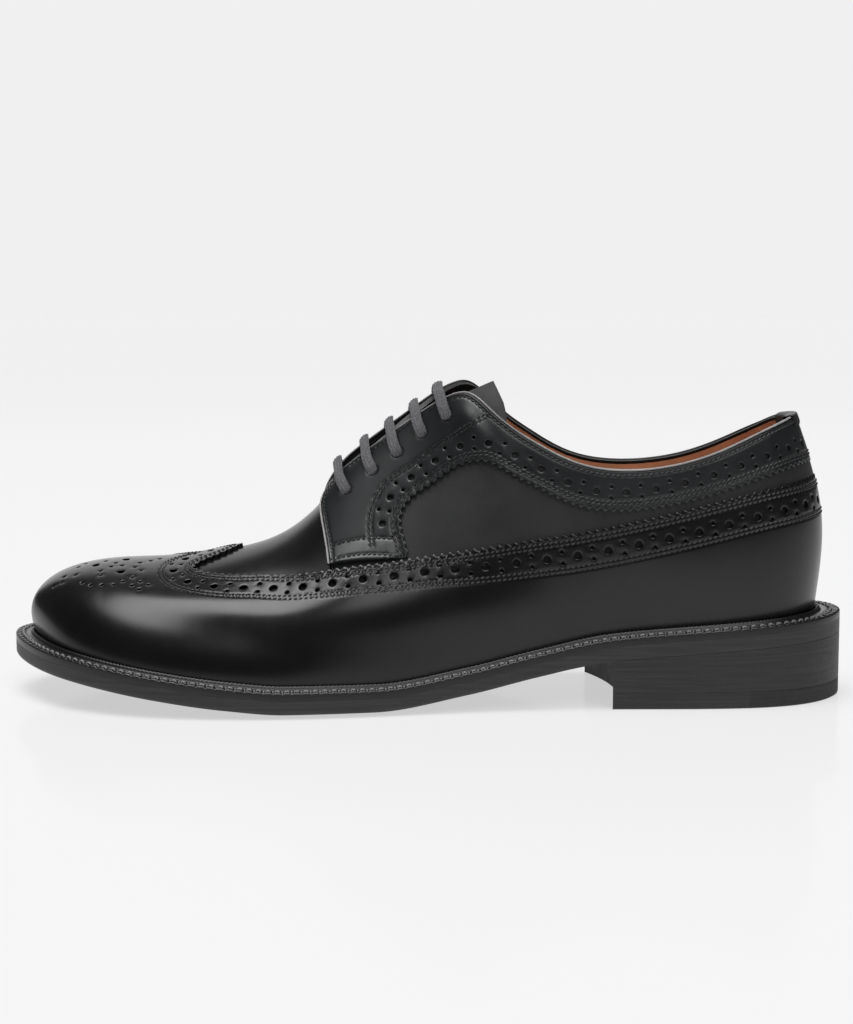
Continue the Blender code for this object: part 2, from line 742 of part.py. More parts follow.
def make_lace_bar(name, t, eyelet):
    """One bar: up through an outer eyelet, across the throat and down through the inner eyelet."""
    ridge = form_top(t + 0.01) - form_top(t - 0.01)
    broad = np.array([ridge[0], 0.0, ridge[1]])
    broad = broad / np.linalg.norm(broad)
    v = np.array([eyelet] + [eyelet + rise for rise, level in LACE_KNOTS] + [rim_height(t)])
    rise = np.array([0.0] + [level for rise, level in LACE_KNOTS] + [LACE_OVER_RIM])
    path = {}
    for side in SIDES:
        level = facing_stand(np.full_like(v, t), v) + rise
        level[0] = LACE_HIDDEN
        path[side] = layer(np.full_like(v, t), v, side, level)
    middle = (path[OUTER][-1] + path[INNER][-1]) / 2
    middle = middle - broad * LACE_LEAN + np.array([0.0, 0.0, LACE_ARCH])
    knots = np.concatenate([path[OUTER], middle[None], path[INNER][::-1]])
    steps = np.linalg.norm(np.diff(knots, axis=0), axis=1)
    at = np.concatenate([[0.0], np.cumsum(steps)])
    line = spline(at, knots)
    along = np.linspace(0, at[-1], LACE_STEPS)
    points = line(along)
    slope = line(along, 1)
    slope = slope / np.linalg.norm(slope, axis=1, keepdims=True)
    rings = []
    for point, direction in zip(points, slope):
        wide = broad - direction * np.dot(broad, direction)
        wide = wide / np.linalg.norm(wide)
        thin = np.cross(direction, wide)
        ring = []
        for angle in np.linspace(0, 2 * np.pi, LACE_SIDES, endpoint=False):
            ring.append(point + wide * np.cos(angle) * LACE_WIDTH / 2 + thin * np.sin(angle) * LACE_THICK / 2)
        rings.append(ring)
    return tube(name, rings, "lace_cotton")


def main():
    for old in list(bpy.data.objects):
        bpy.data.objects.remove(old, do_unlink=True)
    bpy.context.scene.unit_settings.scale_length = 1.0
    make_sole()
    make_heel()
    upper = make_upper()
    make_wing()
    facings = {OUTER: make_facing("facing_outer", OUTER), INNER: make_facing("facing_inner", INNER)}
    make_heel_tab()
    make_tongue()
    for side, name in ((OUTER, "punch_outer"), (INNER, "punch_inner")):
        cutter = make_eyelet_cutter(name, side)
        cut(upper, cutter)
        cut(facings[side], cutter)
    for number, (t, eyelet) in enumerate(EYELETS, 1):
        make_lace_bar(f"lace_bar_{number}", t, eyelet)


main()
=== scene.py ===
"""Looks of the left brogue derby: leather pieces, punched holes, stitches, laces, sole, floor and light.

Sizes are in millimetres in the part's own frame and MM turns them into metres. X runs from toe to heel,
Y from the outer to the inner side of the foot and Z up from the floor. On the skin of the last a place is
a side fraction t (toe to heel) and a height fraction v (welt to top).
"""

import math

import bpy
import numpy as np
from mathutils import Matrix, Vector
from mathutils.geometry import delaunay_2d_cdt
from mathutils.kdtree import KDTree


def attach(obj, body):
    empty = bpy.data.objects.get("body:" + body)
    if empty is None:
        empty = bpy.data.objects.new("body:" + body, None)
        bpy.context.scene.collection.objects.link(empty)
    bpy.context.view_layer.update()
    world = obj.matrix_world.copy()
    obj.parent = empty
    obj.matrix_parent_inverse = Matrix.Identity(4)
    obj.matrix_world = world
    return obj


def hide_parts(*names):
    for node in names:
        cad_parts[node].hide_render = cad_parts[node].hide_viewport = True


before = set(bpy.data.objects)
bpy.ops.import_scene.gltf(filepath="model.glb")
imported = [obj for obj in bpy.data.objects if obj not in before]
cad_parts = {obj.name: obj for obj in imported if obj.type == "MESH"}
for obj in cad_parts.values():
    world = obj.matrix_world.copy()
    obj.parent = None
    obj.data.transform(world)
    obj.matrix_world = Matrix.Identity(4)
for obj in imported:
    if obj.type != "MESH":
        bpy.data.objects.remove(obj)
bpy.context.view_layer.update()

MM = 0.001
OUTER = -1
INNER = 1
SIDES = (OUTER, INNER)
SIDE_NAMES = {OUTER: "outer", INNER: "inner"}
UP = np.array([0.0, 0.0, 1.0])
TINY = 1e-12

# Sole sizes
OUTSOLE_THICK = 5.0
INSOLE_THICK = 3.0
LIFT_THICK = 6.0
CLEARANCE = 0.3
CROWN = 1.4
TOE_TIP = (-152.5, 7.0)
HEEL_BACK = (152.5, 0.0)
EDGE_PLAN = [
    # x, outer y, inner y of the sole's edge
    (-147.0, -12.5, 25.5),
    (-132.0, -33.0, 42.0),
    (-106.0, -47.5, 51.2),
    (-70.0, -53.0, 52.0),
    (-30.0, -50.0, 41.5),
    (15.0, -41.0, 31.0),
    (60.0, -36.0, 32.5),
    (105.0, -35.0, 34.5),
    (139.0, -24.5, 24.5),
]
EDGE_PROFILE = [
    # x, height of the edge's underside above the floor
    (-152.5, 14.0),
    (-125.0, 10.5),
    (-95.0, 6.2),
    (-70.0, 3.1),
    (-48.0, 1.4),
    (-18.0, 1.4),
    (15.0, 6.2),
    (40.0, 11.9),
    (66.0, 17.2),
    (105.0, 20.4),
    (152.5, 23.4),
]
CROWN_SHARE = [
    # x, share of the crown by which the underside's middle hangs below its edge
    (-152.5, 0.0),
    (-110.0, 1.0),
    (-48.0, 1.0),
    (-18.0, 1.0),
    (40.0, 0.0),
    (152.5, 0.0),
]
WELT_INSET = [
    # side fraction, distance from the sole's edge to the upper
    (0.0, 7.8),
    (0.3, 7.4),
    (0.55, 6.0),
    (0.8, 6.4),
    (1.0, 10.2),
]
WELT_SECTION = [
    # share of the way from the sole's edge to the upper, height above the welt's underside
    (0.0, -0.27),
    (0.0, 1.9),
    (0.03, 2.4),
    (0.09, 2.7),
    (0.18, 2.65),
    (0.26, 2.4),
    (0.34, 2.3),
    (0.42, 2.4),
    (0.50, 2.7),
    (0.58, 2.75),
    (0.65, 2.5),
    (0.70, 2.6),
    (0.73, 3.2),
    (0.77, 3.75),
    (0.82, 3.9),
    (0.88, 3.7),
    (0.93, 3.1),
    (0.94, -0.27),
]
STITCH_SHARE = 0.34
STITCH_LIFT = 2.55
NOTCH_DEPTH = 0.65
NOTCH_SPAN = (0.0, 0.1, 0.42, 0.52)
KNURL_PITCH = 1.5
KNURL_HEIGHT = 0.1
KNURL_SPAN = (0.72, 0.78, 0.88, 0.94)
SOLE_SECTION = [
    # distance in from the edge, share of the bevel in front of the heel, share of the thickness
    (0.0, 1.0, 0.0),
    (0.0, 0.39, 0.05),
    (0.0, 0.05, 0.16),
    (0.0, 0.0, 0.3),
    (0.0, 0.0, 0.8),
    (0.0, 0.0, 0.99),
    (0.02, 0.0, 1.0),
    (9.5, 0.0, 1.0),
]
CROWN_RISE = 0.14
INSOLE_GAP = 0.4
INSOLE_DISH = 0.6

# Heel sizes
BREAST_OUTER_X = 66.0
BREAST_INNER_X = 61.5
BREAST_HOLLOW = 6.5
BALL = 0.4
RUBBER_X = 115.0
HEEL_LIFTS = 3
HEEL_GAP = 0.05
SOLE_BEVEL = 0.9
BEVEL_END_X = (48.0, 60.0)
STACK_ROUND = 0.12
GROOVE_DEPTH = 0.1
GROOVE_HALF = 0.01
LIFT_SECTION = [
    # distance in from the edge, share of the thickness
    (0.7, 0.0),
    (0.2, 0.05),
    (0.0, 0.14),
    (0.0, 0.98),
    (STACK_ROUND, 1.0),
]

# Upper sizes
BASE_LEVEL = -1.25
HEEL_FILL = 0.9
HEEL_FILL_FROM = 0.9
LINING_LEVEL = -3.4
FORM = [
    # side fraction, top x, top z, ridge y, half width, out, up, reach, drop
    (0.000, -144.6, 16.8, 7.0, 0.0, 0.0, 0.0, 0.0, 0.0),
    (0.035, -146.8, 28.0, 7.0, 0.0, 1.0, 7.0, 7.0, 0.0),
    (0.075, -144.0, 37.0, 7.0, 0.0, 1.8, 12.0, 12.0, 0.0),
    (0.120, -135.0, 43.8, 7.0, 0.0, 2.5, 16.0, 16.0, 0.0),
    (0.180, -117.0, 48.1, 6.6, 0.0, 3.2, 19.0, 19.5, 0.0),
    (0.250, -94.0, 49.4, 6.0, 0.0, 3.8, 21.0, 20.5, 0.0),
    (0.320, -70.0, 53.6, 5.5, 0.0, 4.0, 24.0, 19.0, 0.0),
    (0.390, -47.0, 63.5, 5.0, 0.0, 4.0, 28.0, 17.0, 0.5),
    (0.450, -26.0, 84.5, 4.5, 0.0, 4.0, 33.0, 16.0, 3.0),
    (0.510, -6.0, 102.5, 4.0, 3.5, 4.0, 36.0, 12.0, 6.5),
    (0.565, 12.0, 113.5, 3.0, 10.5, 4.0, 35.5, 8.5, 12.0),
    (0.620, 27.5, 104.5, 2.0, 19.5, 4.0, 32.5, 8.0, 18.0),
    (0.680, 47.0, 89.5, 0.8, 26.0, 4.5, 29.0, 5.0, 22.0),
    (0.750, 71.0, 84.3, 0.0, 28.5, 5.0, 27.0, 3.0, 22.0),
    (0.830, 98.0, 88.6, 0.0, 27.0, 5.2, 27.0, 3.5, 24.0),
    (0.910, 121.0, 98.0, 0.0, 20.5, 5.0, 29.5, 8.0, 30.0),
    (1.000, 134.8, 102.6, 0.0, 0.0, 4.5, 32.0, 13.0, 34.0),
]
RIDGE_END = 0.45
COLLAR_START = 0.56
COLLAR_FULL = 0.66
TOE_START = 0.006
NOSE_CLEAR = 0.004
FACING = [
    # rim side fraction, rim height fraction, saw-tooth edge side fraction, its height fraction
    (0.4235, 0.488, 0.505, 0.396),
    (0.420, 0.602, 0.501, 0.451),
    (0.418, 0.734, 0.497, 0.507),
    (0.420, 0.835, 0.500, 0.549),
    (0.430, 0.910, 0.506, 0.566),
    (0.445, 0.925, 0.512, 0.577),
    (0.470, 0.916, 0.522, 0.583),
    (0.500, 0.922, 0.536, 0.594),
    (0.530, 0.926, 0.554, 0.618),
    (0.553, 0.930, 0.566, 0.634),
    (0.567, 0.941, 0.578, 0.650),
    (0.580, 0.946, 0.587, 0.664),
    (0.596, 0.936, 0.597, 0.678),
    (0.612, 0.934, 0.614, 0.693),
    (0.634, 0.955, 0.634, 0.713),
    (0.658, 0.984, 0.657, 0.742),
    (0.690, 1.000, 0.690, 0.757),
    (0.750, 1.000, 0.742, 0.766),
    (0.820, 1.000, 0.815, 0.793),
    (0.885, 1.000, 0.880, 0.807),
    (0.940, 1.000, 0.938, 0.819),
    (0.970, 1.000, 0.969, 0.820),
    (1.000, 1.000, 1.000, 0.820),
]
THROAT_ROW = 4
THROAT = 0.436
THROAT_OVERLAP = 0.004
THROAT_WAY = np.array([1.0, 0.0, 0.3])
FACING_STAND = 3.2
FACING_BACK = (0.45, 1.1)
STAND_ALONG = (0.42, 0.54)
STAND_UP = (0.5, 0.87)
WING_FRONT = [
    # side fraction, height fraction of the wing's edge from its peak round the fork
    (0.325, 1.000),
    (0.317, 0.934),
    (0.297, 0.850),
    (0.282, 0.797),
    (0.278, 0.755),
    (0.284, 0.709),
    (0.300, 0.666),
    (0.323, 0.630),
    (0.351, 0.602),
]
WING_SHOULDER = [
    # side fraction, height fraction of the shoulder along the wing's side, its height
    (0.18, 0.55, 0.0),
    (0.25, 0.49, 0.8),
    (0.29, 0.45, 1.2),
    (0.33, 0.40, 1.5),
    (0.395, 0.32, 1.8),
    (0.454, 0.275, 1.9),
    (0.516, 0.245, 1.6),
    (0.60, 0.22, 0.6),
    (0.66, 0.20, 0.0),
]
SHOULDER_REACH = 8.0
WING_EDGE = [
    # x, height of the wing's saw-tooth edge along the side
    (-84.2, 47.9),
    (-82.0, 46.6),
    (-76.5, 45.8),
    (-69.0, 45.3),
    (-59.5, 45.8),
    (-49.5, 46.8),
    (-34.7, 49.0),
    (-7.0, 52.6),
    (27.5, 57.8),
    (58.0, 62.7),
    (89.4, 69.4),
    (122.0, 77.0),
    (141.0, 80.0),
]
EYESTAY_SEAM = [
    # side fraction, height fraction of the seam behind the eyelets
    (0.597, 0.88),
    (0.575, 0.779),
    (0.548, 0.726),
    (0.532, 0.710),
    (0.505, 0.692),
    (0.477, 0.665),
    (0.468, 0.621),
    (0.464, 0.574),
    (0.464, 0.519),
    (0.466, 0.470),
]
EYELETS = [
    # side fraction, height fraction
    (0.444, 0.757),
    (0.471, 0.757),
    (0.497, 0.770),
    (0.523, 0.792),
    (0.550, 0.817),
]
EYELET_RADIUS = 2.1
EYELET_CLEAR = 0.9
EYELET_SINK = 0.25
WASHER_RADIUS = 4.2
WASHER_SINK = 0.12
TAB_FRONT = 0.962
TAB_FOOT = 0.962
TAB_EDGE = (0.006, 0.012)
TAB_LEVEL = 0.7
TAB_STEP = 0.6
TAB_INSIDE = LINING_LEVEL - 0.4
TAB_CREST = 1.0
CREST_STEP = 0.02
TONGUE_DEPTH = 4.5
TONGUE_THICK = 2.2
TONGUE_EDGE = [
    # side fraction, height fraction of the tongue's edge under the quarter, rise of its arch
    (0.415, 0.78, 0.50),
    (0.460, 0.64, 0.80),
    (0.530, 0.66, 0.90),
    (0.560, 0.70, 0.88),
]
TONGUE_LEAN = (0.915, 0.0, 0.4)
TONGUE_DARK = 37
TONGUE_TIP = [
    # distance beyond the last section, share of its breadth, backward slant of its sides
    (0.0, 1.0, 0.0),
    (4.0, 1.0, 0.1),
    (8.1, 0.97, 0.2),
    (11.2, 0.88, 0.3),
    (13.0, 0.7, 0.38),
    (13.9, 0.42, 0.42),
]

# Pattern sizes
TOOTH_PITCH = 2.9
TOOTH_HEIGHT = 1.3
TOOTH_SHAPE = (0.0, 0.5, 0.0, -0.5)
BIG_HOLE = 1.38
SMALL_HOLE = 0.72
HOLE_PITCH = 10.9
WING_HOLE_ENDS = (3.0, 4.0)
FACING_BIG_HOLE = 0.93 * BIG_HOLE
FACING_SMALL_HOLE = 0.95 * SMALL_HOLE
FACING_PITCH = 10.6
FACING_HOLE_ENDS = (14.5, 4.0)
PAIR_SPREAD = 2.0
WING_ROWS = (1.7, 3.1)
WING_BAND = [
    # side fraction, distance from the wing's edge to its large holes and to its lower rows
    (0.27, 7.6, 12.1),
    (0.36, 7.2, 11.4),
    (0.41, 5.9, 10.2),
    (0.48, 5.2, 9.5),
    (0.52, 5.3, 9.6),
    (0.57, 6.1, 10.7),
    (0.64, 7.0, 11.7),
    (0.75, 7.7, 12.1),
    (0.85, 8.4, 12.3),
    (1.00, 8.2, 12.8),
]
ROW_GAP = 1.45
WING_ROW_END = 0.9995
WING_FOOT = 1.2
SHEET_OVERLAP = 0.1
FACING_ROWS = (1.9, 3.1)
FACING_HOLES = 6.4
FACING_ROW_END = 0.9985
ROW_CLEAR = 0.008
SEAM_CLEAR = 0.01
SEAM_GAP = 1.3
RIM_INSET = 0.7
TAB_ROWS = [
    # side fraction and height fraction of the front and the rear end of a row across the facing's foot
    (0.426, 0.562, 0.494, 0.462),
    (0.426, 0.500, 0.495, 0.409),
]
TAB_RISE = 0.8
TAB_LIMIT = 1.3
TAB_END = (0.485, 0.5)
TOP_BULGE = (0.578, 0.79, 1.6, 6.5)
GAPE = [
    # side fraction, how much higher the inner rim stands than the outer one
    (0.0, 0.0),
    (0.405, 0.0),
    (0.45, 2.9),
    (0.585, 2.9),
    (0.64, 1.8),
    (0.70, 0.0),
    (0.78, -1.5),
    (0.86, -2.4),
    (0.92, -1.5),
    (0.962, 0.0),
    (1.0, 0.0),
]
GAPE_WAY = (0.0, 0.28, 1.0)
GAPE_UP = (0.6, 0.9)
BEVEL = 0.45
BEVEL_TILT = 0.55
ROW_DENT = (0.12, 0.6)
FACING_DENT = (0.2, 0.7)
HOLE_DENT = (0.05, 0.5)
RIM_ROW = 1.9
TOE_RIDGE = [(0.01, 1.0), (0.4, 1.0)]
TOE_LOW = 0.2
MEDALLION = [
    # distance from the toe along the ridge, distance from the ridge, hole radius
    (43.0, 8.3, 1.4),
    (53.4, 17.0, 1.4),
    (53.8, 4.4, 1.4),
    (26.6, 14.7, 0.7),
    (30.2, 15.4, 0.7),
    (30.9, 11.5, 0.7),
    (35.8, 13.6, 0.7),
    (36.0, 6.0, 0.7),
    (38.4, 3.4, 0.7),
    (39.0, 20.8, 0.7),
    (42.6, 23.8, 0.7),
    (47.1, 25.0, 0.7),
    (51.6, 25.8, 0.7),
    (55.0, 24.2, 0.7),
    (58.6, 27.3, 0.75),
    (58.2, 21.5, 0.7),
    (61.5, 30.0, 0.75),
    (61.5, 25.0, 0.7),
    (64.6, 27.3, 0.7),
    (45.9, 18.0, 0.7),
    (45.5, 14.6, 0.7),
    (46.2, 4.6, 0.7),
    (49.2, 11.8, 0.7),
    (50.4, 8.2, 0.7),
    (53.2, 11.5, 0.7),
    (58.2, 13.4, 0.7),
    (59.6, 9.4, 0.7),
    (60.8, 16.4, 0.7),
    (63.3, 7.6, 0.7),
    (66.4, 5.4, 0.7),
]
STITCH_PITCH = 1.9
STITCH_LENGTH = 1.55
STITCH_RADIUS = 0.34
STITCH_SLANT = 0.3
STITCH_SINK = 0.1
STITCH_ENDS = (1.0, 1.0)
STITCH_SECTIONS = [
    # place along the stitch, share of its radius, lift in radii
    (-0.5, 0.35, -0.9),
    (-0.36, 0.9, -0.1),
    (0.0, 1.0, 0.35),
    (0.36, 0.9, -0.1),
    (0.5, 0.35, -0.9),
]
WELT_STITCH_PITCH = 3.3
WELT_STITCH_LENGTH = 1.95
WELT_STITCH_RADIUS = 0.55
BEAD_RADIUS = 0.42
BEAD_BROAD = 1.3
BEAD_SINK = 0.75
UNDER_WING = 0.05
QUARTER_START = 0.425
RIM_BAND = 1.2
THROAT_BAND = 5.0
BAND_ALONG = (0.56, 0.62)
BAND_START = 0.42
LACE_WIDTH = 3.9
LACE_THICK = 1.7
LACE_STRANDS = 10
LACE_LAY = 1.6
LACE_RELIEF = (0.93, 0.14, 0.03)
LACE_CAP = 0.6
LACE_RUN = 0.01
LACE_KNOTS = [
    # height fraction above the eyelet, height above the facing
    (-0.004, 0.0),
    (0.0, 0.4),
    (0.03, 1.75),
]
LACE_OVER_RIM = 1.55
LACE_HIDDEN = -4.5
LACE_ARCH = 0.8
LACE_LEAN = (0.0, 0.0, 0.5, 1.7, 2.6, 2.9, 2.4, 1.2, 0.6)

# Mesh fineness
CHART = np.array([345.0, 80.0])
SPACING = 1.7
GRID_CLEAR = 0.55
LINE_CLEAR = 0.3
JOINED_WITHIN = 1e-6
FEWEST_POINTS = 3
COLUMN_POINTS = 40
EDGE_PITCH = 0.7
ROW_PITCH = 1.2
ROW_OFFSETS = (-1.3, -0.6, 0.0, 0.6, 1.3)
RING_PITCH = 0.6
RING_REACHES = (1.3, 1.7)
DENT_PITCH = 0.5
FRONT_PITCH = 1.5
BEAD_PITCH = 0.9
BEAD_AROUND = 12
STITCH_AROUND = 6
LACE_AROUND = 60
LACE_STEP = 0.25
BIG_POINTS = 20
FACING_BIG_POINTS = 18
SMALL_POINTS = 12
TOE_POINTS = 14
EYELET_POINTS = 22
LINE_POINTS = 500
SEAM_POINTS = 400
SEARCH_POINTS = 2000
RIDGE_POINTS = 400
SIDE_POINTS = 200
HALVINGS = 40
FOOT_STEPS = 240
WING_HEEL_STEPS = 30
NOSE_STEPS = 4
RIDGE_STEPS = 60
FACING_HEEL_STEPS = 8
FACING_FOOT_STEPS = 28
TAB_ROW_POINTS = 40
TOE_END = 0.12
TOE_STEPS = 40
BODY_STEPS = 270
SKIN_ROWS = 61
LINING_ROWS = 56
BAND_ROWS = 5
CREST_ROWS = 16
TAB_STEPS = 14
TAB_CLIMB = 12
TAB_BACK_CLIMB = 8
TAB_BOW = 9
TONGUE_STEPS = 40
TONGUE_ACROSS = 41
TIP_STEPS = 26
WELT_STATIONS = 1760
SOLE_STATIONS = 640
TREAD_STEPS = 160
TREAD_ACROSS = 25
HEEL_STEPS = 90
RUBBER_STEPS = 60
LIFT_STEPS = 30
LIFT_ACROSS = 31
BLOCK_ACROSS = 6

# Finishes; colours are linear
LEATHERS = [
    # name, dark, pale, roughness, grain in mm, relief in mm, coat, coat's roughness, refraction
    ("black_polished", (0.0035, 0.0035, 0.0038), (0.006, 0.006, 0.0066), 0.25, 0.45, 0.01, 0.08, 0.16, 1.46),
    ("black_vamp", (0.0035, 0.0035, 0.0038), (0.006, 0.006, 0.0066), 0.25, 0.5, 0.012, 0.08, 0.16, 1.46),
    ("black_soft", (0.011, 0.0112, 0.0115), (0.019, 0.0193, 0.0197), 0.5, 0.9, 0.04, 0.05, 0.4, 1.5),
    ("black_facing", (0.0072, 0.0085, 0.0092), (0.0125, 0.0142, 0.0152), 0.36, 0.6, 0.025, 0.12, 0.28, 1.5),
    # Pale grey for the outward half of the rim bead: a painted highlight
    ("cut_edge", (0.24, 0.23, 0.225), (0.42, 0.405, 0.395), 0.5, 0.4, 0.02, 0.0, 0.1, 1.5),
    ("tan_lining", (0.55, 0.26, 0.14), (0.85, 0.46, 0.27), 0.55, 0.8, 0.03, 0.0, 0.1, 1.5),
    ("black_binding", (0.012, 0.012, 0.012), (0.022, 0.021, 0.02), 0.45, 0.5, 0.02, 0.0, 0.1, 1.5),
    ("grey_suede", (0.034, 0.034, 0.036), (0.08, 0.08, 0.083), 0.8, 0.5, 0.06, 0.0, 0.1, 1.5),
    ("black_welt", (0.005, 0.005, 0.005), (0.011, 0.011, 0.011), 0.36, 0.5, 0.03, 0.15, 0.3, 1.5),
    ("sole_leather", (0.02, 0.018, 0.016), (0.035, 0.032, 0.03), 0.6, 1.0, 0.04, 0.0, 0.1, 1.5),
    # The heel's breast finish is darker and duller than the stack's edge: painted shade
    ("black_breast", (0.004, 0.004, 0.004), (0.009, 0.009, 0.009), 0.6, 0.6, 0.03, 0.0, 0.1, 1.3),
    # The next finish is near-black, dull and weakly reflecting: painted shade at the bottom of the wing's
    # holes; it also serves the lining's top band and the tongue under the throat
    ("black_under", (0.004, 0.004, 0.004), (0.009, 0.009, 0.009), 0.6, 0.6, 0.02, 0.0, 0.1, 1.33),
]
WAXED_EDGES = [
    # name, dark, pale, roughness, relief in mm
    ("sole_edge", (0.018, 0.0178, 0.0176), (0.038, 0.0375, 0.037), 0.5, 0.06),
    ("stack_edge", (0.015, 0.0149, 0.0149), (0.031, 0.0306, 0.03), 0.5, 0.07),
    ("rubber", (0.018, 0.018, 0.018), (0.03, 0.03, 0.03), 0.7, 0.04),
]
FIBRES = [
    # name, dark, pale, roughness, size of the fibres in mm, relief in mm
    ("black_thread", (0.012, 0.012, 0.0123), (0.04, 0.04, 0.041), 0.34, 0.3, 0.04),
    ("welt_thread", (0.13, 0.13, 0.125), (0.34, 0.335, 0.325), 0.5, 0.3, 0.05),
    ("lace_cotton", (0.025, 0.025, 0.027), (0.27, 0.268, 0.283), 0.85, 0.55, 0.15),
]
UPPER_FINISHES = ("black_vamp", "black_soft", "tan_lining", "black_binding", "black_under")
VAMP, QUARTER, LINING, BINDING, BLACK_AND_SHADE = range(len(UPPER_FINISHES))
LEATHER_STOPS = (0.35, 0.68)
LEATHER_POLISH = (0.8, 1.2)
EDGE_STOPS = (0.32, 0.7)
EDGE_POLISH = (0.8, 1.25)
FIBRE_STOPS = (0.3, 0.75)
FIBRE_POLISH = (0.85, 1.1)
WAVE_SCALE = 45.0
POLISH_SCALE = 160.0
PORES_PER_GRAIN = 2.2
LINE_SCALE = 90.0
LINE_STRETCH = (0.35, 0.35, 14.0)
SPOT_SCALE = 700.0
WAVE_STRENGTH = 0.6
EDGE_STRENGTH = 0.8
PORE_SHARE = 0.3
WAVE_SHARE = 2.0
SPOT_SHARE = 0.4

# Photograph's camera and light
CAMERA_PLACE = (0.0002, -0.72, 0.15)
CAMERA_PITCH = 0.115875
CAMERA_LENS = 69.33
FLOOR_HALF = 8.0
FLOOR_WHITE = 0.33
FLOOR_GLOW = 0.597
FLOOR_FAR_GLOW = 0.5415
FLOOR_FADE = (0.3, 2.5)
FLOOR_IOR = 1.04
FLOOR_ROUGH = (0.1, 0.14)
FLOOR_CLOUD = 3.0
BACKDROP_GLOW = 0.87
BACKDROP_TINT = (1.0, 1.0, 1.005, 1.0)
ROOM_GLOW = 0.05
SKY_PATCHES = [
    # direction of its middle, cosines where it begins and where it is full, strength
    ((-0.16, -0.06, 0.985), 0.918, 0.968, 6.2),
    ((0.22, -0.6, 0.77), 0.925, 0.975, 2.7),
    ((-0.1, 0.94, 0.33), 0.87, 0.905, 1.05),
]


def spline(knots, values, end_slope=None, period=None):
    """A cubic spline through the values; it gives the curve, or its slope with order 1."""
    x = np.asarray(knots, float)
    y = np.asarray(values, float).reshape(len(x), -1)
    if period is not None:
        x = np.append(x, x[0] + period)
        y = np.vstack([y, y[:1]])
    count = len(x)
    h = np.diff(x)
    slope = np.diff(y, axis=0) / h[:, None]
    system = np.eye(count)
    right = np.zeros_like(y)
    for i in range(1, count - 1):
        system[i, i - 1:i + 2] = h[i - 1], 2 * (h[i - 1] + h[i]), h[i]
        right[i] = 6 * (slope[i] - slope[i - 1])
    if period is not None:
        system[0, [0, 1, -2]] = 2 * (h[0] + h[-1]), h[0], h[-1]
        right[0] = 6 * (slope[0] - slope[-1])
        system[-1, [0, -1]] = -1, 1
    elif end_slope is not None:
        system[-1, -2:] = h[-1], 2 * h[-1]
        right[-1] = 6 * (end_slope - slope[-1])
    bend = np.linalg.solve(system, right)

    def curve(at, order=0):
        at = np.asarray(at, float)
        if period is not None:
            at = x[0] + (at - x[0]) % period
        i = np.clip(np.searchsorted(x, at, side="right") - 1, 0, count - 2)
        a = (x[i + 1] - at)[..., None]
        b = (at - x[i])[..., None]
        w = h[i][..., None]
        if order == 1:
            bow = (bend[i + 1] * b**2 - bend[i] * a**2) / (2 * w)
            return bow + (y[i + 1] - y[i]) / w - (bend[i + 1] - bend[i]) * w / 6
        bow = (bend[i] * a**3 + bend[i + 1] * b**3) / (6 * w)
        return bow + (y[i] / w - bend[i] * w / 6) * a + (y[i + 1] / w - bend[i + 1] * w / 6) * b

    return curve


def smooth_table(rows, column=1):
    """A curve through a table's column that adds no humps between the rows."""
    x = np.array([row[0] for row in rows], float)
    y = np.array([row[column] for row in rows], float)
    h = np.diff(x)
    rise = np.diff(y) / h
    slope = np.zeros_like(y)
    slope[0] = rise[0]
    slope[-1] = rise[-1]
    for i in range(1, len(x) - 1):
        if rise[i - 1] * rise[i] > 0:
            before = 2 * h[i] + h[i - 1]
            after = h[i] + 2 * h[i - 1]
            slope[i] = (before + after) / (before / rise[i - 1] + after / rise[i])

    def curve(at):
        at = np.asarray(at, float)
        i = np.clip(np.searchsorted(x, at, side="right") - 1, 0, len(x) - 2)
        s = (at - x[i]) / h[i]
        start = (1 + 2 * s) * (1 - s)**2 * y[i] + s * (1 - s)**2 * h[i] * slope[i]
        return start + s * s * (3 - 2 * s) * y[i + 1] + s * s * (s - 1) * h[i] * slope[i + 1]

    return curve


def ease(start, end, at):
    """0 before start, 1 after end, smooth between."""
    s = np.clip((np.asarray(at, float) - start) / (end - start), 0, 1)
    return s * s * (3 - 2 * s)


def hump(start, full, fading, end, at):
    """0 before start and after end, 1 from full to fading, smooth between."""
    return ease(start, full, at) * (1 - ease(fading, end, at))


def between(start, end, count):
    """Even steps on the straight way from start to end, without these two."""
    return np.linspace(start, end, count + 2)[1:-1]


def unit(vectors):
    """Vectors of length 1."""
    return vectors / np.maximum(np.linalg.norm(vectors, axis=-1, keepdims=True), TINY)


def travelled(points):
    """Distance along a line of points from the first one to each."""
    return np.concatenate([[0.0], np.cumsum(np.linalg.norm(np.diff(points, axis=0), axis=1))])


def followed(stops, at, rows):
    """Rows at stops along a line whose rows lie at the distances at."""
    return np.stack([np.interp(stops, at, column) for column in rows.T], -1)


# Curves of the sole's edge and of the form
RING = np.array(
    [TOE_TIP]
    + [(x, outer) for x, outer, inner in EDGE_PLAN]
    + [HEEL_BACK]
    + [(x, inner) for x, outer, inner in reversed(EDGE_PLAN)]
)
RING_STEPS = np.linalg.norm(np.roll(RING, -1, axis=0) - RING, axis=1)
RING_LENGTH = RING_STEPS.sum()
RING_AT = np.cumsum(RING_STEPS) - RING_STEPS
HEEL_AT = RING_AT[len(EDGE_PLAN) + 1]
edge_curve = spline(RING_AT, RING, period=RING_LENGTH)
edge_height = smooth_table(EDGE_PROFILE)
crown_share = smooth_table(CROWN_SHARE)
welt_inset = smooth_table(WELT_INSET)
form_top = spline([row[0] for row in FORM], [row[1:4] for row in FORM], end_slope=0.0)
form_width = smooth_table(FORM, 4)
form_handles = spline([row[0] for row in FORM], [row[5:9] for row in FORM], end_slope=0.0)
wing_height = smooth_table(WING_EDGE)
gape_lift = smooth_table(GAPE)
shoulder_line = smooth_table(WING_SHOULDER)
shoulder_height = smooth_table(WING_SHOULDER, 2)
hole_distance = smooth_table(WING_BAND)
row_distance = smooth_table(WING_BAND, 2)
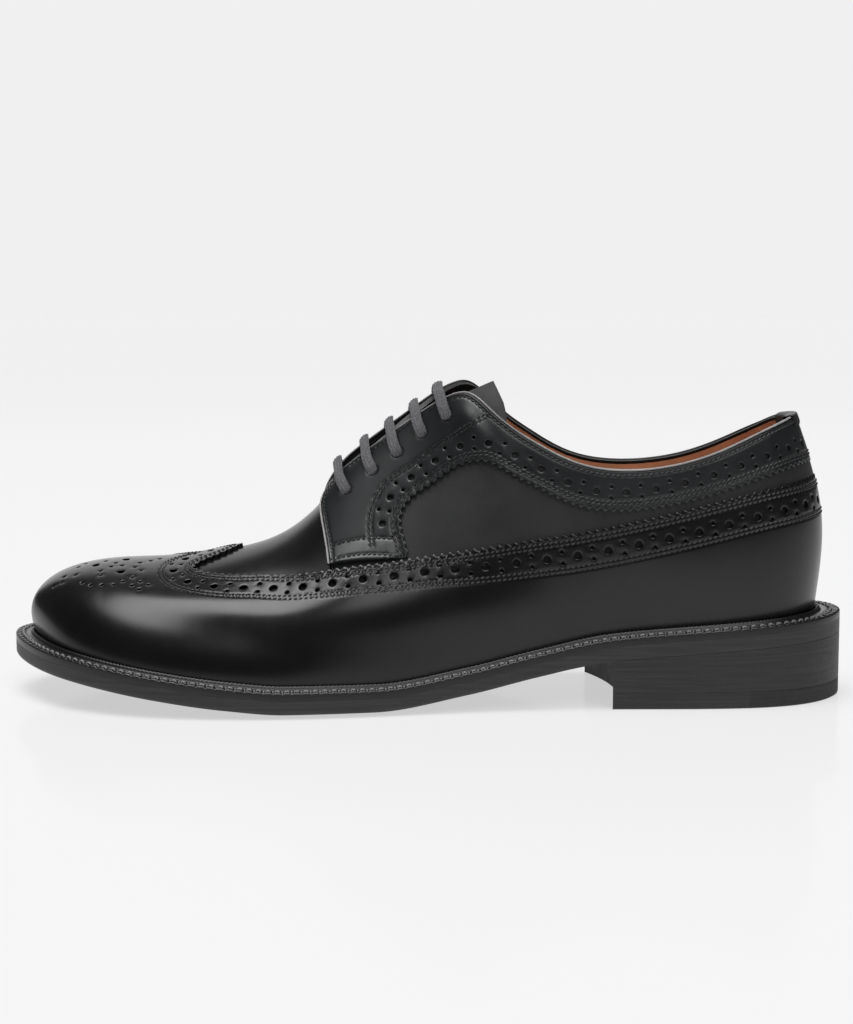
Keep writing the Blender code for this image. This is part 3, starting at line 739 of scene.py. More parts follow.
rim_rows = [(0.0, FACING[THROAT_ROW][1])] + [row[:2] for row in FACING[THROAT_ROW:]]
rim_height = smooth_table(rim_rows)
facing_curve = spline(range(len(FACING)), FACING)
tongue_edge = smooth_table(TONGUE_EDGE)
tongue_arch = smooth_table(TONGUE_EDGE, 2)
tip_breadth = smooth_table(TONGUE_TIP)
tip_slant = smooth_table(TONGUE_TIP, 2)


def side_fraction(at):
    """Side fraction at a distance round the sole's edge from the toe."""
    return np.where(at < HEEL_AT, at / HEEL_AT, (RING_LENGTH - at) / (RING_LENGTH - HEEL_AT))


def ring_edge(at, inward=0.0):
    """Plan points of the sole's edge at distances round it, moved inward, with their outward normals."""
    slope = unit(edge_curve(at, 1))
    out = np.stack([slope[..., 1], -slope[..., 0]], -1)
    return edge_curve(at) - out * np.asarray(inward, float)[..., None], out


def sole_edge(t, side, inward=0.0):
    """Plan points of the sole's edge at side fractions t, moved inward, with their outward normals."""
    t = np.asarray(t, float)
    return ring_edge(t * HEEL_AT if side == OUTER else RING_LENGTH - t * (RING_LENGTH - HEEL_AT), inward)


def seat_height(x):
    """Height of the outsole's top, where the welt and the upper sit."""
    return edge_height(x) + OUTSOLE_THICK + CLEARANCE


def matched(*values):
    """Numbers or arrays brought to one shape."""
    return np.broadcast_arrays(*[np.asarray(value, float) for value in values])


def form(t, v, side):
    """Point of the skin at side fraction t (toe to heel) and height fraction v (welt to top)."""
    t, v = matched(t, v)
    foot, out = sole_edge(t, side, welt_inset(t))
    seat = seat_height(foot[..., 0])
    out = np.concatenate([out, np.zeros(t.shape + (1,))], -1)
    top = form_top(t)
    handles = form_handles(t)
    p0 = np.concatenate([foot, seat[..., None]], -1)
    p1 = p0 + handles[..., 0:1] * out + handles[..., 1:2] * UP
    p3 = np.stack([top[..., 0], top[..., 2] + side * form_width(t), top[..., 1]], -1)
    turn = ease(COLLAR_START, COLLAR_FULL, t)[..., None]
    aside = unit((1 - turn) * np.array([0.0, side, 0.0]) + turn * out)
    p2 = p3 + handles[..., 2:3] * aside - handles[..., 3:4] * UP
    v = v[..., None]
    return (1 - v)**3 * p0 + 3 * v * (1 - v)**2 * p1 + 3 * v**2 * (1 - v) * p2 + v**3 * p3


def tangents(t, v, side):
    """Change of the skin along t and along v, and its outward unit normal."""
    step = 1e-4
    t, v = matched(t, v)
    seam = (t > 1 - step / 2)[..., None]
    ridge = ((v >= 1) & (t <= RIDGE_END))[..., None]
    near = np.clip(t, NOSE_CLEAR, 1 - step)
    along = (form(near + step, v, side) - form(near - step, v, side)) / (2 * step)
    here = np.where(seam[..., 0], t, near)
    climb = (form(here, v + step, side) - form(here, v - step, side)) / (2 * step)
    flat = np.zeros_like(near)
    on_ridge = np.stack([-along[..., 2], flat, along[..., 0]], -1)
    on_seam = np.stack([climb[..., 2], flat, -climb[..., 0]], -1)
    normal = np.cross(climb, along) * side
    return along, climb, unit(np.where(ridge, on_ridge, np.where(seam, on_seam, normal)))


def layer(t, v, side, level):
    """Points and normals at a level outward of the skin (negative is inward)."""
    t, v, level = matched(t, v, level)
    normal = tangents(t, v, side)[2]
    return form(t, v, side) + normal * level[..., None] + gape(t, v, side), normal


def gape(t, v, side):
    """How the inner rim stands off from where the outer one's mirror image would be."""
    return (gape_lift(t) * ease(*GAPE_UP, v) * (side == INNER))[..., None] * np.array(GAPE_WAY)


def height_at(t, side, wanted):
    """Height fraction at which each column of the skin reaches the wanted height (a function of x)."""
    low = np.zeros_like(t)
    high = np.ones_like(t)
    for _ in range(HALVINGS):
        middle = (low + high) / 2
        point = form(t, middle, side)
        below = point[..., 2] < wanted(point[..., 0])
        low = np.where(below, middle, low)
        high = np.where(below, high, middle)
    return (low + high) / 2


def chart_step(along, climb, wanted):
    """Steps in t and v that move a place of the skin by the wanted vectors."""
    a = (along * along).sum(-1)
    b = (along * climb).sum(-1)
    c = (climb * climb).sum(-1)
    d = (along * wanted).sum(-1)
    e = (climb * wanted).sum(-1)
    return np.stack([c * d - b * e, a * e - b * d], -1) / (a * c - b * b)[..., None]


def heading(line, side):
    """Directions along a line of places, with the skin's changes and normals there."""
    along, climb, normal = tangents(*line.T, side)
    run = np.gradient(line, axis=0)
    return unit(along * run[:, :1] + climb * run[:, 1:]), along, climb, normal


def shift(line, side, distance, steps=6):
    """A line of places moved sideways over the skin: to the left as it runs, seen with the toe left."""
    distance = np.broadcast_to(np.asarray(distance, float), len(line))[:, None]
    for _ in range(steps):
        direction, along, climb, normal = heading(line, side)
        aside = np.cross(normal, direction) * -side
        line = line + chart_step(along, climb, aside * distance / steps)
    return line


def lengths(line, side):
    """Distance on the skin from the start of a line to each of its places."""
    return travelled(form(*line.T, side))


def paced(line, side, pitch, start=0.0, end=0.0):
    """Places along a line at an even pitch, from start to end short of its ends."""
    at = lengths(line, side)
    room = at[-1] - start - end
    stops = start + np.linspace(0, room, max(int(round(room / pitch)), 1) + 1)
    return followed(stops, at, line)


def smooth_line(rows, count=LINE_POINTS):
    """A smooth line of places through the rows."""
    rows = np.asarray(rows, float)
    at = travelled(rows * CHART)
    return spline(at, rows)(np.linspace(0, at[-1], count))


def ring_at(place, side, radius, count):
    """A round ring of places about a place of the skin."""
    along, climb, normal = tangents(np.array(place[0]), np.array(place[1]), side)
    first = unit(along)
    second = np.cross(normal, first)
    angle = np.linspace(0, 2 * math.pi, count, endpoint=False)[:, None]
    wanted = radius * (first * np.cos(angle) + second * np.sin(angle))
    return np.asarray(place) + chart_step(along, climb, wanted)


def saw_teeth(line, side):
    """The line as a saw-tooth edge, its two ends left in place."""
    places = paced(line, side, TOOTH_PITCH / len(TOOTH_SHAPE))
    direction, along, climb, normal = heading(places, side)
    aside = np.cross(normal, direction) * -side
    swing = np.resize(TOOTH_SHAPE, len(places)) * TOOTH_HEIGHT
    swing[-1] = 0
    return places + chart_step(along, climb, aside * swing[:, None])


def inside(points, outline):
    """Which points of the chart lie inside a closed outline."""
    x, y = points[:, 0:1], points[:, 1:2]
    a = outline[None, :, :]
    b = np.roll(outline, -1, axis=0)[None, :, :]
    crosses = (a[..., 1] > y) != (b[..., 1] > y)
    rise = np.where(b[..., 1] == a[..., 1], TINY, b[..., 1] - a[..., 1])
    reach = a[..., 0] + (y - a[..., 1]) * (b[..., 0] - a[..., 0]) / rise
    return (crosses & (x < reach)).sum(1) % 2 == 1


def tree_of(points):
    """A search tree of points."""
    tree = KDTree(len(points))
    for i, point in enumerate(points):
        tree.insert(point, i)
    tree.balance()
    return tree


def distances(tree, points):
    """Distance from each point to the nearest one in the tree, and that one's number."""
    found = [tree.find(point) for point in points]
    return np.array([hit[2] for hit in found]), np.array([hit[1] for hit in found])


def quads(rows, cols, closed=False):
    """Faces of a sheet of rows and columns; in a closed one the last column joins the first."""
    ids = np.arange(rows * cols).reshape(rows, cols)
    if closed:
        ids = np.concatenate([ids, ids[:, :1]], axis=1)
    return np.stack([ids[:-1, :-1], ids[1:, :-1], ids[1:, 1:], ids[:-1, 1:]], -1).reshape(-1, 4)


def facing_way(points, way, closed=False):
    """Normals of a sheet of rows and columns, all turned so that most of them point the given way."""
    down = np.gradient(points, axis=0)
    if closed:
        right = np.roll(points, -1, axis=1) - np.roll(points, 1, axis=1)
    else:
        right = np.gradient(points, axis=1)
    normals = unit(np.cross(down, right))
    return normals * np.sign((normals * way).sum(-1).mean())


class Collector:
    """Gathers the points, normals and faces of one piece."""

    def __init__(self):
        self.points = []
        self.normals = []
        self.faces = []
        self.kinds = []
        self.count = 0

    def add(self, points, normals, faces, kind=0):
        """Faces by the numbers of their points; kind is the number of their material."""
        points = np.asarray(points, float).reshape(-1, 3)
        normals = np.asarray(normals, float).reshape(-1, 3)
        self.points.append(points)
        self.normals.append(np.broadcast_to(normals, points.shape))
        self.faces.append(faces + self.count)
        self.kinds.append(np.broadcast_to(kind, len(faces)))
        self.count += len(points)

    def grid(self, points, normals, kind=0, closed=False, keep=None):
        """A sheet of rows and columns, or those of its faces that are to be kept."""
        faces = quads(*points.shape[:2], closed)
        kind = np.broadcast_to(np.ravel(kind), len(faces))
        if keep is not None:
            faces = faces[keep.ravel()]
            kind = kind[keep.ravel()]
        self.add(points, normals, faces, kind)

    def piece(self, name, materials, replaced=()):
        """The mesh object: joined where points coincide, each corner with its own normal."""
        points = np.concatenate(self.points)
        normals = unit(np.concatenate(self.normals))
        _, first, joined = np.unique(np.round(points, 4), axis=0, return_index=True, return_inverse=True)
        joined = joined.reshape(-1)
        faces = []
        corners = []
        kinds = []
        for group, group_kinds in zip(self.faces, self.kinds):
            corner = points[group]
            turn = np.cross(corner[:, 2] - corner[:, 0], corner[:, -1] - corner[:, 1])
            flip = (turn * normals[group].mean(axis=1)).sum(axis=1) < 0
            group = np.where(flip[:, None], group[:, ::-1], group)
            for face, kind in zip(group.tolist(), group_kinds.tolist()):
                kept = {}
                for i in face:
                    kept.setdefault(int(joined[i]), i)
                if len(kept) > 2:
                    faces.append(list(kept))
                    corners.extend(kept.values())
                    kinds.append(kind)
        mesh = bpy.data.meshes.new(name)
        mesh.from_pydata((points[first] * MM).tolist(), [], faces)
        for material in materials:
            mesh.materials.append(material)
        mesh.polygons.foreach_set("use_smooth", np.ones(len(faces), bool))
        mesh.polygons.foreach_set("material_index", np.array(kinds, np.int32))
        mesh.update()
        mesh.normals_split_custom_set(normals[corners].tolist())
        made = bpy.data.objects.new(name, mesh)
        bpy.context.scene.collection.objects.link(made)
        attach(made, "root")
        if replaced:
            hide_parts(*replaced)


def dents(skin, normals, side, rows, holes, row_dent):
    """How deep stitches and hole rims pull the leather in at points of the skin, and the tilted normals."""
    marks = [(paced(row, side, DENT_PITCH), row_dent) for row in rows]
    marks += [(hole, HOLE_DENT) for hole in holes]
    sources = np.concatenate([form(*places.T, side) for places, dent in marks])
    sizes = np.concatenate([np.tile(dent, (len(places), 1)) for places, dent in marks])
    away, nearest = distances(tree_of(sources), skin)
    depth, width = sizes[nearest].T
    fall = depth * np.exp(-(away / width)**2)
    gap = skin - sources[nearest]
    gap = gap - normals * (gap * normals).sum(1, keepdims=True)
    slope = (2 * away / width**2 * fall)[:, None] * unit(gap)
    return fall, unit(normals - slope)


def outside_holes(places, holes, side):
    """Which places lie outside every round hole."""
    middles = np.array([form(*hole.mean(axis=0), side) for hole in holes])
    rims = [form(*hole.T, side) for hole in holes]
    radii = np.array([np.linalg.norm(rim - middle, axis=1).max() for rim, middle in zip(rims, middles)])
    away, nearest = distances(tree_of(middles), form(*places.T, side))
    return away > radii[nearest]


def trimmed(outline, holes, lines, side):
    """Places and triangles of a patch of the skin inside an outline and outside its holes."""
    loops = [outline] + holes
    fixed = np.concatenate(loops)
    owner = np.concatenate([np.full(len(loop), i) for i, loop in enumerate(loops)])
    edges = []
    for i in range(len(loops)):
        ids = np.flatnonzero(owner == i)
        edges.extend(zip(ids.tolist(), np.roll(ids, -1).tolist()))

    def fitting(places, others, clear):
        """The places within the patch that keep clear of others."""
        places = places[inside(places * CHART, outline * CHART)]
        away, _ = distances(tree_of(form(*others.T, side)), form(*places.T, side))
        return places[(away > clear) & outside_holes(places, holes, side)]

    drawn = np.concatenate([paced(line, side, pitch) for line, pitch in lines])
    placed = np.concatenate([fixed, fitting(drawn, fixed, LINE_CLEAR)])
    grid = []
    for number, t in enumerate(np.arange(outline[:, 0].min(), outline[:, 0].max(), SPACING / CHART[0])):
        column = np.linspace((t, 0), (t, 1), COLUMN_POINTS)
        count = max(int(lengths(column, side)[-1] / SPACING), FEWEST_POINTS)
        v = (np.arange(count) + 0.5 * (number % 2)) / count
        grid.append(np.stack([np.full(count, t), v], -1))
    places = np.concatenate([placed, fitting(np.concatenate(grid), placed, GRID_CLEAR * SPACING)])
    owner = np.concatenate([owner, np.full(len(places) - len(fixed), -1)])
    flat_places = [Vector(place) for place in (places * CHART).tolist()]
    _, _, faces, origin, _, _ = delaunay_2d_cdt(flat_places, edges, [], 0, JOINED_WITHIN)
    source = np.array([ids[0] if ids else -1 for ids in origin])
    triangles = source[np.array([face for face in faces if len(face) == 3])]
    triangles = triangles[(triangles >= 0).all(axis=1)]
    triangles = triangles[inside(places[triangles].mean(axis=1) * CHART, outline * CHART)]
    first, second, third = owner[triangles].T
    return places, triangles[(first <= 0) | (first != second) | (second != third)]


def leaning(t, v, side, level):
    """Outward normals of a sheet that lies at a changing level."""
    step = 5e-4
    low = np.minimum(v, 1 - step)
    near = np.minimum(t, 1 - 2 * step)
    ahead, behind = (layer(near + s, low, side, level(near + s, low))[0] for s in (step, -step))
    above, below = (layer(near, low + s, side, level(near, low + s))[0] for s in (step, -step))
    normal = unit(np.cross(above - below, ahead - behind) * side)
    return np.where((t > 1 - step)[:, None], tangents(t, v, side)[2], normal)


def leather_patch(gathered, side, outline, walled, holes, rows, row_dent, level, under, edges):
    """A leather sheet on the skin with punched holes and a cut edge; edges run just inside its outline."""
    lines = [(edge, EDGE_PITCH) for edge in edges]
    lines += [(shift(row, side, offset, 2), ROW_PITCH) for row in rows for offset in ROW_OFFSETS]
    for hole in holes:
        middle = hole.mean(axis=0)
        for reach in RING_REACHES:
            ring = middle + (hole - middle) * reach
            lines.append((np.vstack([ring, ring[:1]]), RING_PITCH))
    places, triangles = trimmed(outline, holes, lines, side)
    t, v = places.T
    lying, upright = layer(t, v, side, 0.0)
    normal = leaning(t, v, side, level)
    fall, tilted = dents(form(t, v, side), normal, side, rows, holes, row_dent)
    top = lying + upright * (level(t, v) - fall)[:, None]
    shaded = tilted.copy()
    start = len(outline)
    spans = [(np.arange(start), walled)]
    for hole in holes:
        spans.append((np.arange(start, start + len(hole)), np.ones(len(hole), bool)))
        start += len(hole)
    for ids, wall in spans:
        here = top[ids]
        run = unit(np.roll(here, -1, axis=0) - np.roll(here, 1, axis=0))
        chart = places[ids]
        following = np.roll(chart, -1, axis=0)
        area = (chart[:, 0] * following[:, 1] - following[:, 0] * chart[:, 1]).sum()
        turn = -side * np.sign(area) * (1 if ids[0] == 0 else -1)
        face = unit(np.cross(run, normal[ids])) * turn
        shaded[ids] = np.where(wall[:, None], unit(tilted[ids] + BEVEL_TILT * face), tilted[ids])
        low = lying[ids] + upright[ids] * under(t[ids], v[ids])[:, None]
        keep = np.append(wall[:-1] & wall[1:], wall[-1] & wall[0])
        gathered.grid(np.stack([here, low]), np.stack([face, face]), closed=True, keep=keep)
    gathered.add(top, shaded, triangles)


def stitches(name, rows, material, length, radius, slant=0.0):
    """Threads lying in rows, each slanting a little; a row is its points, directions and normals."""
    along, swell, lift = np.array(STITCH_SECTIONS).T
    angle = np.linspace(0, 2 * math.pi, STITCH_AROUND, endpoint=False)[:, None]
    points = []
    for row_points, direction, normal in rows:
        aside = np.cross(normal, direction)
        slanted = direction * math.cos(slant) + aside * math.sin(slant)
        across_it = aside * math.cos(slant) - direction * math.sin(slant)
        for place, ahead, up, beside in zip(row_points, slanted, normal, across_it):
            ring = beside * np.cos(angle) + up * np.sin(angle)
            middle = place + ahead * (along * length)[:, None] + up * (lift * radius)[:, None]
            points.append(middle[:, None] + ring * (swell * radius)[:, None, None])
    points = np.array(points)
    faces = quads(len(along), STITCH_AROUND, True)
    every = faces + np.arange(len(points))[:, None, None] * len(along) * STITCH_AROUND
    gathered = Collector()
    gathered.add(points, unit(points - points.mean(axis=2, keepdims=True)), every.reshape(-1, 4))
    gathered.piece(name, [material])


def leather_stitches(name, rows, material):
    """Fine stitches of the leather pieces."""
    stitches(name, rows, material, STITCH_LENGTH, STITCH_RADIUS, STITCH_SLANT)


def thread_row(line, side, level):
    """One row of stitches on the skin: points, directions and normals."""
    places = paced(line, side, STITCH_PITCH, *STITCH_ENDS)
    points, normal = layer(*places.T, side, level(*places.T) - STITCH_SINK)
    return points, heading(places, side)[0], normal


# Materials
class Nodes:
    """Adds nodes to the tree of a material or of the world."""

    def __init__(self, tree):
        self.tree = tree

    def link(self, source, node, name):
        """Leads an output to a node's input, by its name or number."""
        self.tree.links.new(source, node.inputs[name])

    def add(self, kind, **settings):
        """A node with settings for its inputs, whose spaces are underscores here, or for its own choices."""
        made = self.tree.nodes.new("ShaderNode" + kind)
        for key, value in settings.items():
            name = key.replace("_", " ")
            if name in made.inputs:
                made.inputs[name].default_value = value
            else:
                setattr(made, key, value)
        return made

    def texture(self, kind, scale, output="Fac", stretch=(1, 1, 1), **settings):
        """A texture in the object's own metres."""
        place = self.add("TexCoord")
        mapping = self.add("Mapping", Scale=stretch)
        made = self.add("Tex" + kind, Scale=scale, **settings)
        self.link(place.outputs["Object"], mapping, "Vector")
        self.link(mapping.outputs["Vector"], made, "Vector")
        return made.outputs[output]

    def ramp(self, source, *stops):
        """Two colours over the range of a texture."""
        made = self.add("ValToRGB")
        for element, (place, colour) in zip(made.color_ramp.elements, stops):
            element.position = place
            element.color = (*colour, 1.0)
        self.link(source, made, "Fac")
        return made.outputs["Color"]

    def spread(self, source, low, high, **settings):
        """A number that follows another one between two values."""
        made = self.add("MapRange", To_Min=low, To_Max=high, **settings)
        self.link(source, made, "Value")
        return made.outputs["Result"]

    def bump(self, source, depth, strength=1.0, before=None):
        """A bump from a texture, on top of another bump."""
        made = self.add("Bump", Strength=strength, Distance=depth)
        self.link(source, made, "Height")
        if before is not None:
            self.link(before, made, "Normal")
        return made.outputs["Normal"]

    def calculate(self, operation, first, second):
        """The result of a calculation on two outputs."""
        made = self.add("Math", operation=operation)
        self.link(first, made, 0)
        self.link(second, made, 1)
        return made.outputs["Value"]


def new_material(name):
    """A new material, its nodes and its shader."""
    made = bpy.data.materials.new(name)
    made.use_nodes = True
    return made, Nodes(made.node_tree), made.node_tree.nodes["Principled BSDF"]


def leather(name, dark, pale, rough, grain, relief, coat, coat_rough, refraction):
    """Finished leather: cells of the grain, fine pores and slow unevenness of polish."""
    made, tree, shader = new_material(name)
    depth = relief * MM
    slow = tree.texture("Noise", WAVE_SCALE, Detail=4.0)
    cells = tree.texture("Voronoi", 1.0 / (grain * MM), "Distance", feature="DISTANCE_TO_EDGE")
    fine = tree.texture("Noise", PORES_PER_GRAIN / (grain * MM), Detail=5.0, Roughness=0.6)
    polish = tree.texture("Noise", POLISH_SCALE, Detail=6.0)
    tree.link(tree.ramp(slow, *zip(LEATHER_STOPS, (dark, pale))), shader, "Base Color")
    tree.link(tree.spread(polish, *(rough * share for share in LEATHER_POLISH)), shader, "Roughness")
    grained = tree.bump(fine, depth * PORE_SHARE, before=tree.bump(cells, depth))
    tree.link(tree.bump(slow, depth * WAVE_SHARE, WAVE_STRENGTH, grained), shader, "Normal")
    shader.inputs["Coat Weight"].default_value = coat
    shader.inputs["Coat Roughness"].default_value = coat_rough
    shader.inputs["IOR"].default_value = refraction
    return made


def waxed_edge(name, dark, pale, rough, relief):
    """Waxed edge of stacked leather with faint lines along it."""
    made, tree, shader = new_material(name)
    depth = relief * MM
    lines = tree.texture("Noise", LINE_SCALE, stretch=LINE_STRETCH, Detail=5.0)
    spots = tree.texture("Noise", SPOT_SCALE, Detail=4.0)
    tree.link(tree.ramp(lines, *zip(EDGE_STOPS, (dark, pale))), shader, "Base Color")
    tree.link(tree.spread(spots, *(rough * share for share in EDGE_POLISH)), shader, "Roughness")
    lined = tree.bump(lines, depth, EDGE_STRENGTH)
    tree.link(tree.bump(spots, depth * SPOT_SHARE, EDGE_STRENGTH, lined), shader, "Normal")
    return made


def fibre(name, dark, pale, rough, size, relief):
    """Thread or cotton with fine fibres."""
    made, tree, shader = new_material(name)
    hairs = tree.texture("Noise", 1.0 / (size * MM), Detail=6.0, Roughness=0.7)
    tree.link(tree.ramp(hairs, *zip(FIBRE_STOPS, (dark, pale))), shader, "Base Color")
    tree.link(tree.spread(hairs, *(rough * share for share in FIBRE_POLISH)), shader, "Roughness")
    tree.link(tree.bump(hairs, relief * MM), shader, "Normal")
    return made


def make_materials():
    """All finishes by name."""
    looks = {}
    for make, rows in ((leather, LEATHERS), (waxed_edge, WAXED_EDGES), (fibre, FIBRES)):
        for row in rows:
            looks[row[0]] = make(*row)
    return looks


# Lines of the pattern
def wing_line(side):
    """Smooth edge of the wing from its peak on the ridge, round the fork and along the side to the heel."""
    later = np.array([0.39, 0.43, 0.47, 0.51, 0.56, 0.61, 0.66, 0.71, 0.76, 0.81, 0.86, 0.91, 0.96, 1.0])
    front = np.array(WING_FRONT)
    low_outer, low_here = (height_at(front[:, 0], which, wing_height) for which in (OUTER, side))
    front[:, 1] += (low_here - low_outer) * np.clip((1 - front[:, 1]) / (1 - low_outer), 0, 1)
    behind = np.stack([later, height_at(later, side, wing_height)], -1)
    return smooth_line(np.concatenate([front, behind]))


def wing_top(t, side):
    """Height fraction of the wing's edge along the side."""
    line = wing_line(side)
    return np.interp(t, *line[line[:, 0] > WING_FRONT[-1][0]].T)


def facing_lines():
    """Rim and saw-tooth edge of a facing, both from its foot to the heel."""
    rows = np.clip(facing_curve(np.linspace(0, len(FACING) - 1, LINE_POINTS)), 0, 1)
    return rows[:, :2], rows[:, 2:]


def facing_stand(t, v):
    """How far the facing stands off the skin near the foot of the throat."""
    return FACING_STAND * (1 - ease(*STAND_ALONG, t)) * ease(*STAND_UP, v)


def facing_level(t, v):
    """Level of the facing, whose foot rises over the wing and whose top corner curls in."""
    upper, lower = ((row[1] + (t - row[0]) / (row[2] - row[0]) * (row[3] - row[1])) for row in TAB_ROWS)
    foot = TAB_RISE * np.clip((upper - v) / (upper - lower), 0, TAB_LIMIT) * (1 - ease(*TAB_END, t))
    along, up, height, reach = TOP_BULGE
    away = ((t - along) * CHART[0])**2 + ((v - up) * CHART[1])**2
    return facing_stand(t, v) + (foot + height * np.exp(-away / reach**2))


def facing_back(t, v):
    """Level of the lower end of the facing's cut edge."""
    share, depth = FACING_BACK
    return np.maximum(facing_stand(t, v) * share - depth, BASE_LEVEL - SHEET_OVERLAP)


def wing_level(t, v):
    """Level of the wing: a soft shoulder along its side, where the flank turns down to the welt."""
    here = np.clip(t, WING_SHOULDER[0][0], WING_SHOULDER[-1][0])
    away = (v - shoulder_line(here)) * CHART[1] / SHOULDER_REACH
    return shoulder_height(here) * np.exp(-away**2)


def wing_back(t, v):
    """Level of the lower end of the wing's cut edge."""
    return np.full_like(t, BASE_LEVEL - SHEET_OVERLAP)


def band_holes(line, side, start, end, pitch):
    """Places of a band's large holes and of the pairs of small holes between them."""
    spots = paced(line, side, pitch / 2, start, end)
    direction, along, climb, normal = heading(spots, side)
    aside = chart_step(along, climb, np.cross(normal, direction) * PAIR_SPREAD)
    return spots[::2], np.concatenate([(spots - aside)[1::2], (spots + aside)[1::2]])


def rings(places, side, radius, count):
    """Round holes of one size at places of the skin."""
    return [ring_at(place, side, radius, count) for place in places]


def toe_place(along, aside, side):
    """Place of a toe hole from its distances along and from the ridge."""
    ridge = np.linspace(*TOE_RIDGE, RIDGE_POINTS)
    here = np.interp(along, lengths(ridge, side), ridge[:, 0])
    column = np.linspace((here, 1.0), (here, TOE_LOW), SIDE_POINTS)
    return np.array([here, np.interp(aside, lengths(column, side), column[:, 1])])


# Pieces
def make_wing(looks):
    """Long wing overlay with its punched band and toe ornament, and its stitches."""
    gathered = Collector()
    threads = []
    for side in SIDES:
        line = wing_line(side)
        station = np.maximum(line[:, 0], WING_BAND[0][0])
        lower = row_distance(station)
        rows = [shift(line, side, -gap) for gap in (*WING_ROWS, lower - ROW_GAP / 2, lower + ROW_GAP / 2)]
        rows = [row[(row[:, 1] <= 1) & (row[:, 0] < WING_ROW_END)] for row in rows]
        band = shift(line, side, -hole_distance(station))
        large, small = band_holes(band[band[:, 1] <= 1], side, *WING_HOLE_ENDS, HOLE_PITCH)
        holes = rings(large, side, BIG_HOLE, BIG_POINTS) + rings(small, side, SMALL_HOLE, SMALL_POINTS)
        for along, aside, radius in MEDALLION:
            holes.append(ring_at(toe_place(along, aside, side), side, radius, TOE_POINTS))
        teeth = saw_teeth(line, side)
        teeth[:, 1] = np.minimum(teeth[:, 1], 1)
        foot_t = np.linspace(1.0, TOE_START, FOOT_STEPS)
        foot = np.stack([foot_t, height_at(foot_t, side, lambda x: seat_height(x) + WING_FOOT)], -1)
        heel = between((1.0, teeth[-1, 1]), foot[0], WING_HEEL_STEPS)
        nose = between(foot[-1], (TOE_START, 1.0), NOSE_STEPS)
        ridge = np.linspace((TOE_START, 1.0), (teeth[0, 0], 1.0), RIDGE_STEPS)[:-1]
        outline = np.concatenate([teeth, heel, foot, nose, ridge])
        walled = np.arange(len(outline)) < len(teeth)
        edges = [saw_teeth(shift(line, side, -BEVEL), side)]
        leather_patch(gathered, side, outline, walled, holes, rows, ROW_DENT, wing_level, wing_back, edges)
        threads += [thread_row(row, side, wing_level) for row in rows]
    gathered.piece("wing_leather", [looks["black_polished"]], ["wing"])
    leather_stitches("wing_stitches", threads, looks["black_thread"])


def make_facing(looks, side):
    """Eyestay and collar band of one side, and their stitches."""
    rim, teeth_line = facing_lines()
    edge = shift(rim, side, -RIM_INSET)
    edge[-1, 0] = 1.0
    edge[:, 0] = np.minimum(edge[:, 0], 1.0)
    front = paced(edge, side, FRONT_PITCH)
    front[-1, 0] = 1.0
    teeth = saw_teeth(teeth_line, side)[::-1]
    heel = between((1.0, front[-1, 1]), (1.0, teeth[0, 1]), FACING_HEEL_STEPS)
    foot = between(teeth[-1], front[0], FACING_FOOT_STEPS)
    above = np.array([teeth[-1, 1], front[0, 1]]) - wing_top(np.array([teeth[-1, 0], front[0, 0]]), side)
    foot[:, 1] = wing_top(foot[:, 0], side) + np.linspace(*above, len(foot))
    outline = np.concatenate([front, heel, teeth, foot])
    walled = np.ones(len(outline), bool)
    walled[len(front):len(front) + len(heel)] = False
    band = shift(teeth_line, side, FACING_HOLES)
    band = band[band[:, 0] < FACING_ROW_END]
    large, small = band_holes(band, side, *FACING_HOLE_ENDS, FACING_PITCH)
    holes = rings(large, side, FACING_BIG_HOLE, FACING_BIG_POINTS)
    holes += rings(small, side, FACING_SMALL_HOLE, SMALL_POINTS)
    holes += rings(EYELETS, side, EYELET_RADIUS, EYELET_POINTS)
    seam = smooth_line(EYESTAY_SEAM, SEAM_POINTS)
    seam = seam[seam[:, 1] > wing_top(seam[:, 0], side) + SEAM_CLEAR]
    rows = [shift(teeth_line, side, distance) for distance in FACING_ROWS]
    rows += [shift(rim, side, -RIM_ROW), seam, shift(seam, side, SEAM_GAP)]
    rows += [np.linspace(row[:2], row[2:], TAB_ROW_POINTS) for row in TAB_ROWS]
    rows = [row[row[:, 0] < FACING_ROW_END] for row in rows]
    rows = [row[row[:, 1] > wing_top(row[:, 0], side) + ROW_CLEAR] for row in rows]
    edges = [saw_teeth(shift(teeth_line, side, BEVEL), side), shift(edge, side, -BEVEL)]
    gathered = Collector()
    leather_patch(gathered, side, outline, walled, holes, rows, FACING_DENT, facing_level, facing_back, edges)
    name = SIDE_NAMES[side]
    gathered.piece(f"facing_leather_{name}", [looks["black_facing"]], [f"facing_{name}"])
    threads = [thread_row(row, side, facing_level) for row in rows]
    leather_stitches(f"facing_stitches_{name}", threads, looks["black_thread"])


def sweep(gathered, path, wide, radius_wide, radius_thin, around, kind=0, relief=None):
    """A cord along a path: wide gives the direction of its broad side; one with a relief has closed ends."""
    direction = unit(np.gradient(path, axis=0))
    wide = unit(wide - direction * (wide * direction).sum(1, keepdims=True))
    thin = np.cross(direction, wide)
    angle = np.linspace(0, 2 * math.pi, around, endpoint=False)
    ring = wide[:, None] * (np.cos(angle) * radius_wide)[:, None]
    ring = ring + thin[:, None] * (np.sin(angle) * radius_thin)[:, None]
    swell = 1.0 if relief is None else relief(travelled(path)[:, None], angle)[..., None]
    points = path[:, None] + ring * swell
    gathered.grid(points, facing_way(points, ring, True), kind, closed=True)
    if relief is not None:
        ids = np.arange(around)
        for end, sign in ((0, -1), (-1, 1)):
            outward = direction[end] * sign
            cap = np.concatenate([points[end], [path[end] + outward * radius_thin * LACE_CAP]])
            gathered.add(cap, outward, np.stack([ids, np.roll(ids, -1), np.full(around, around)], -1), kind)


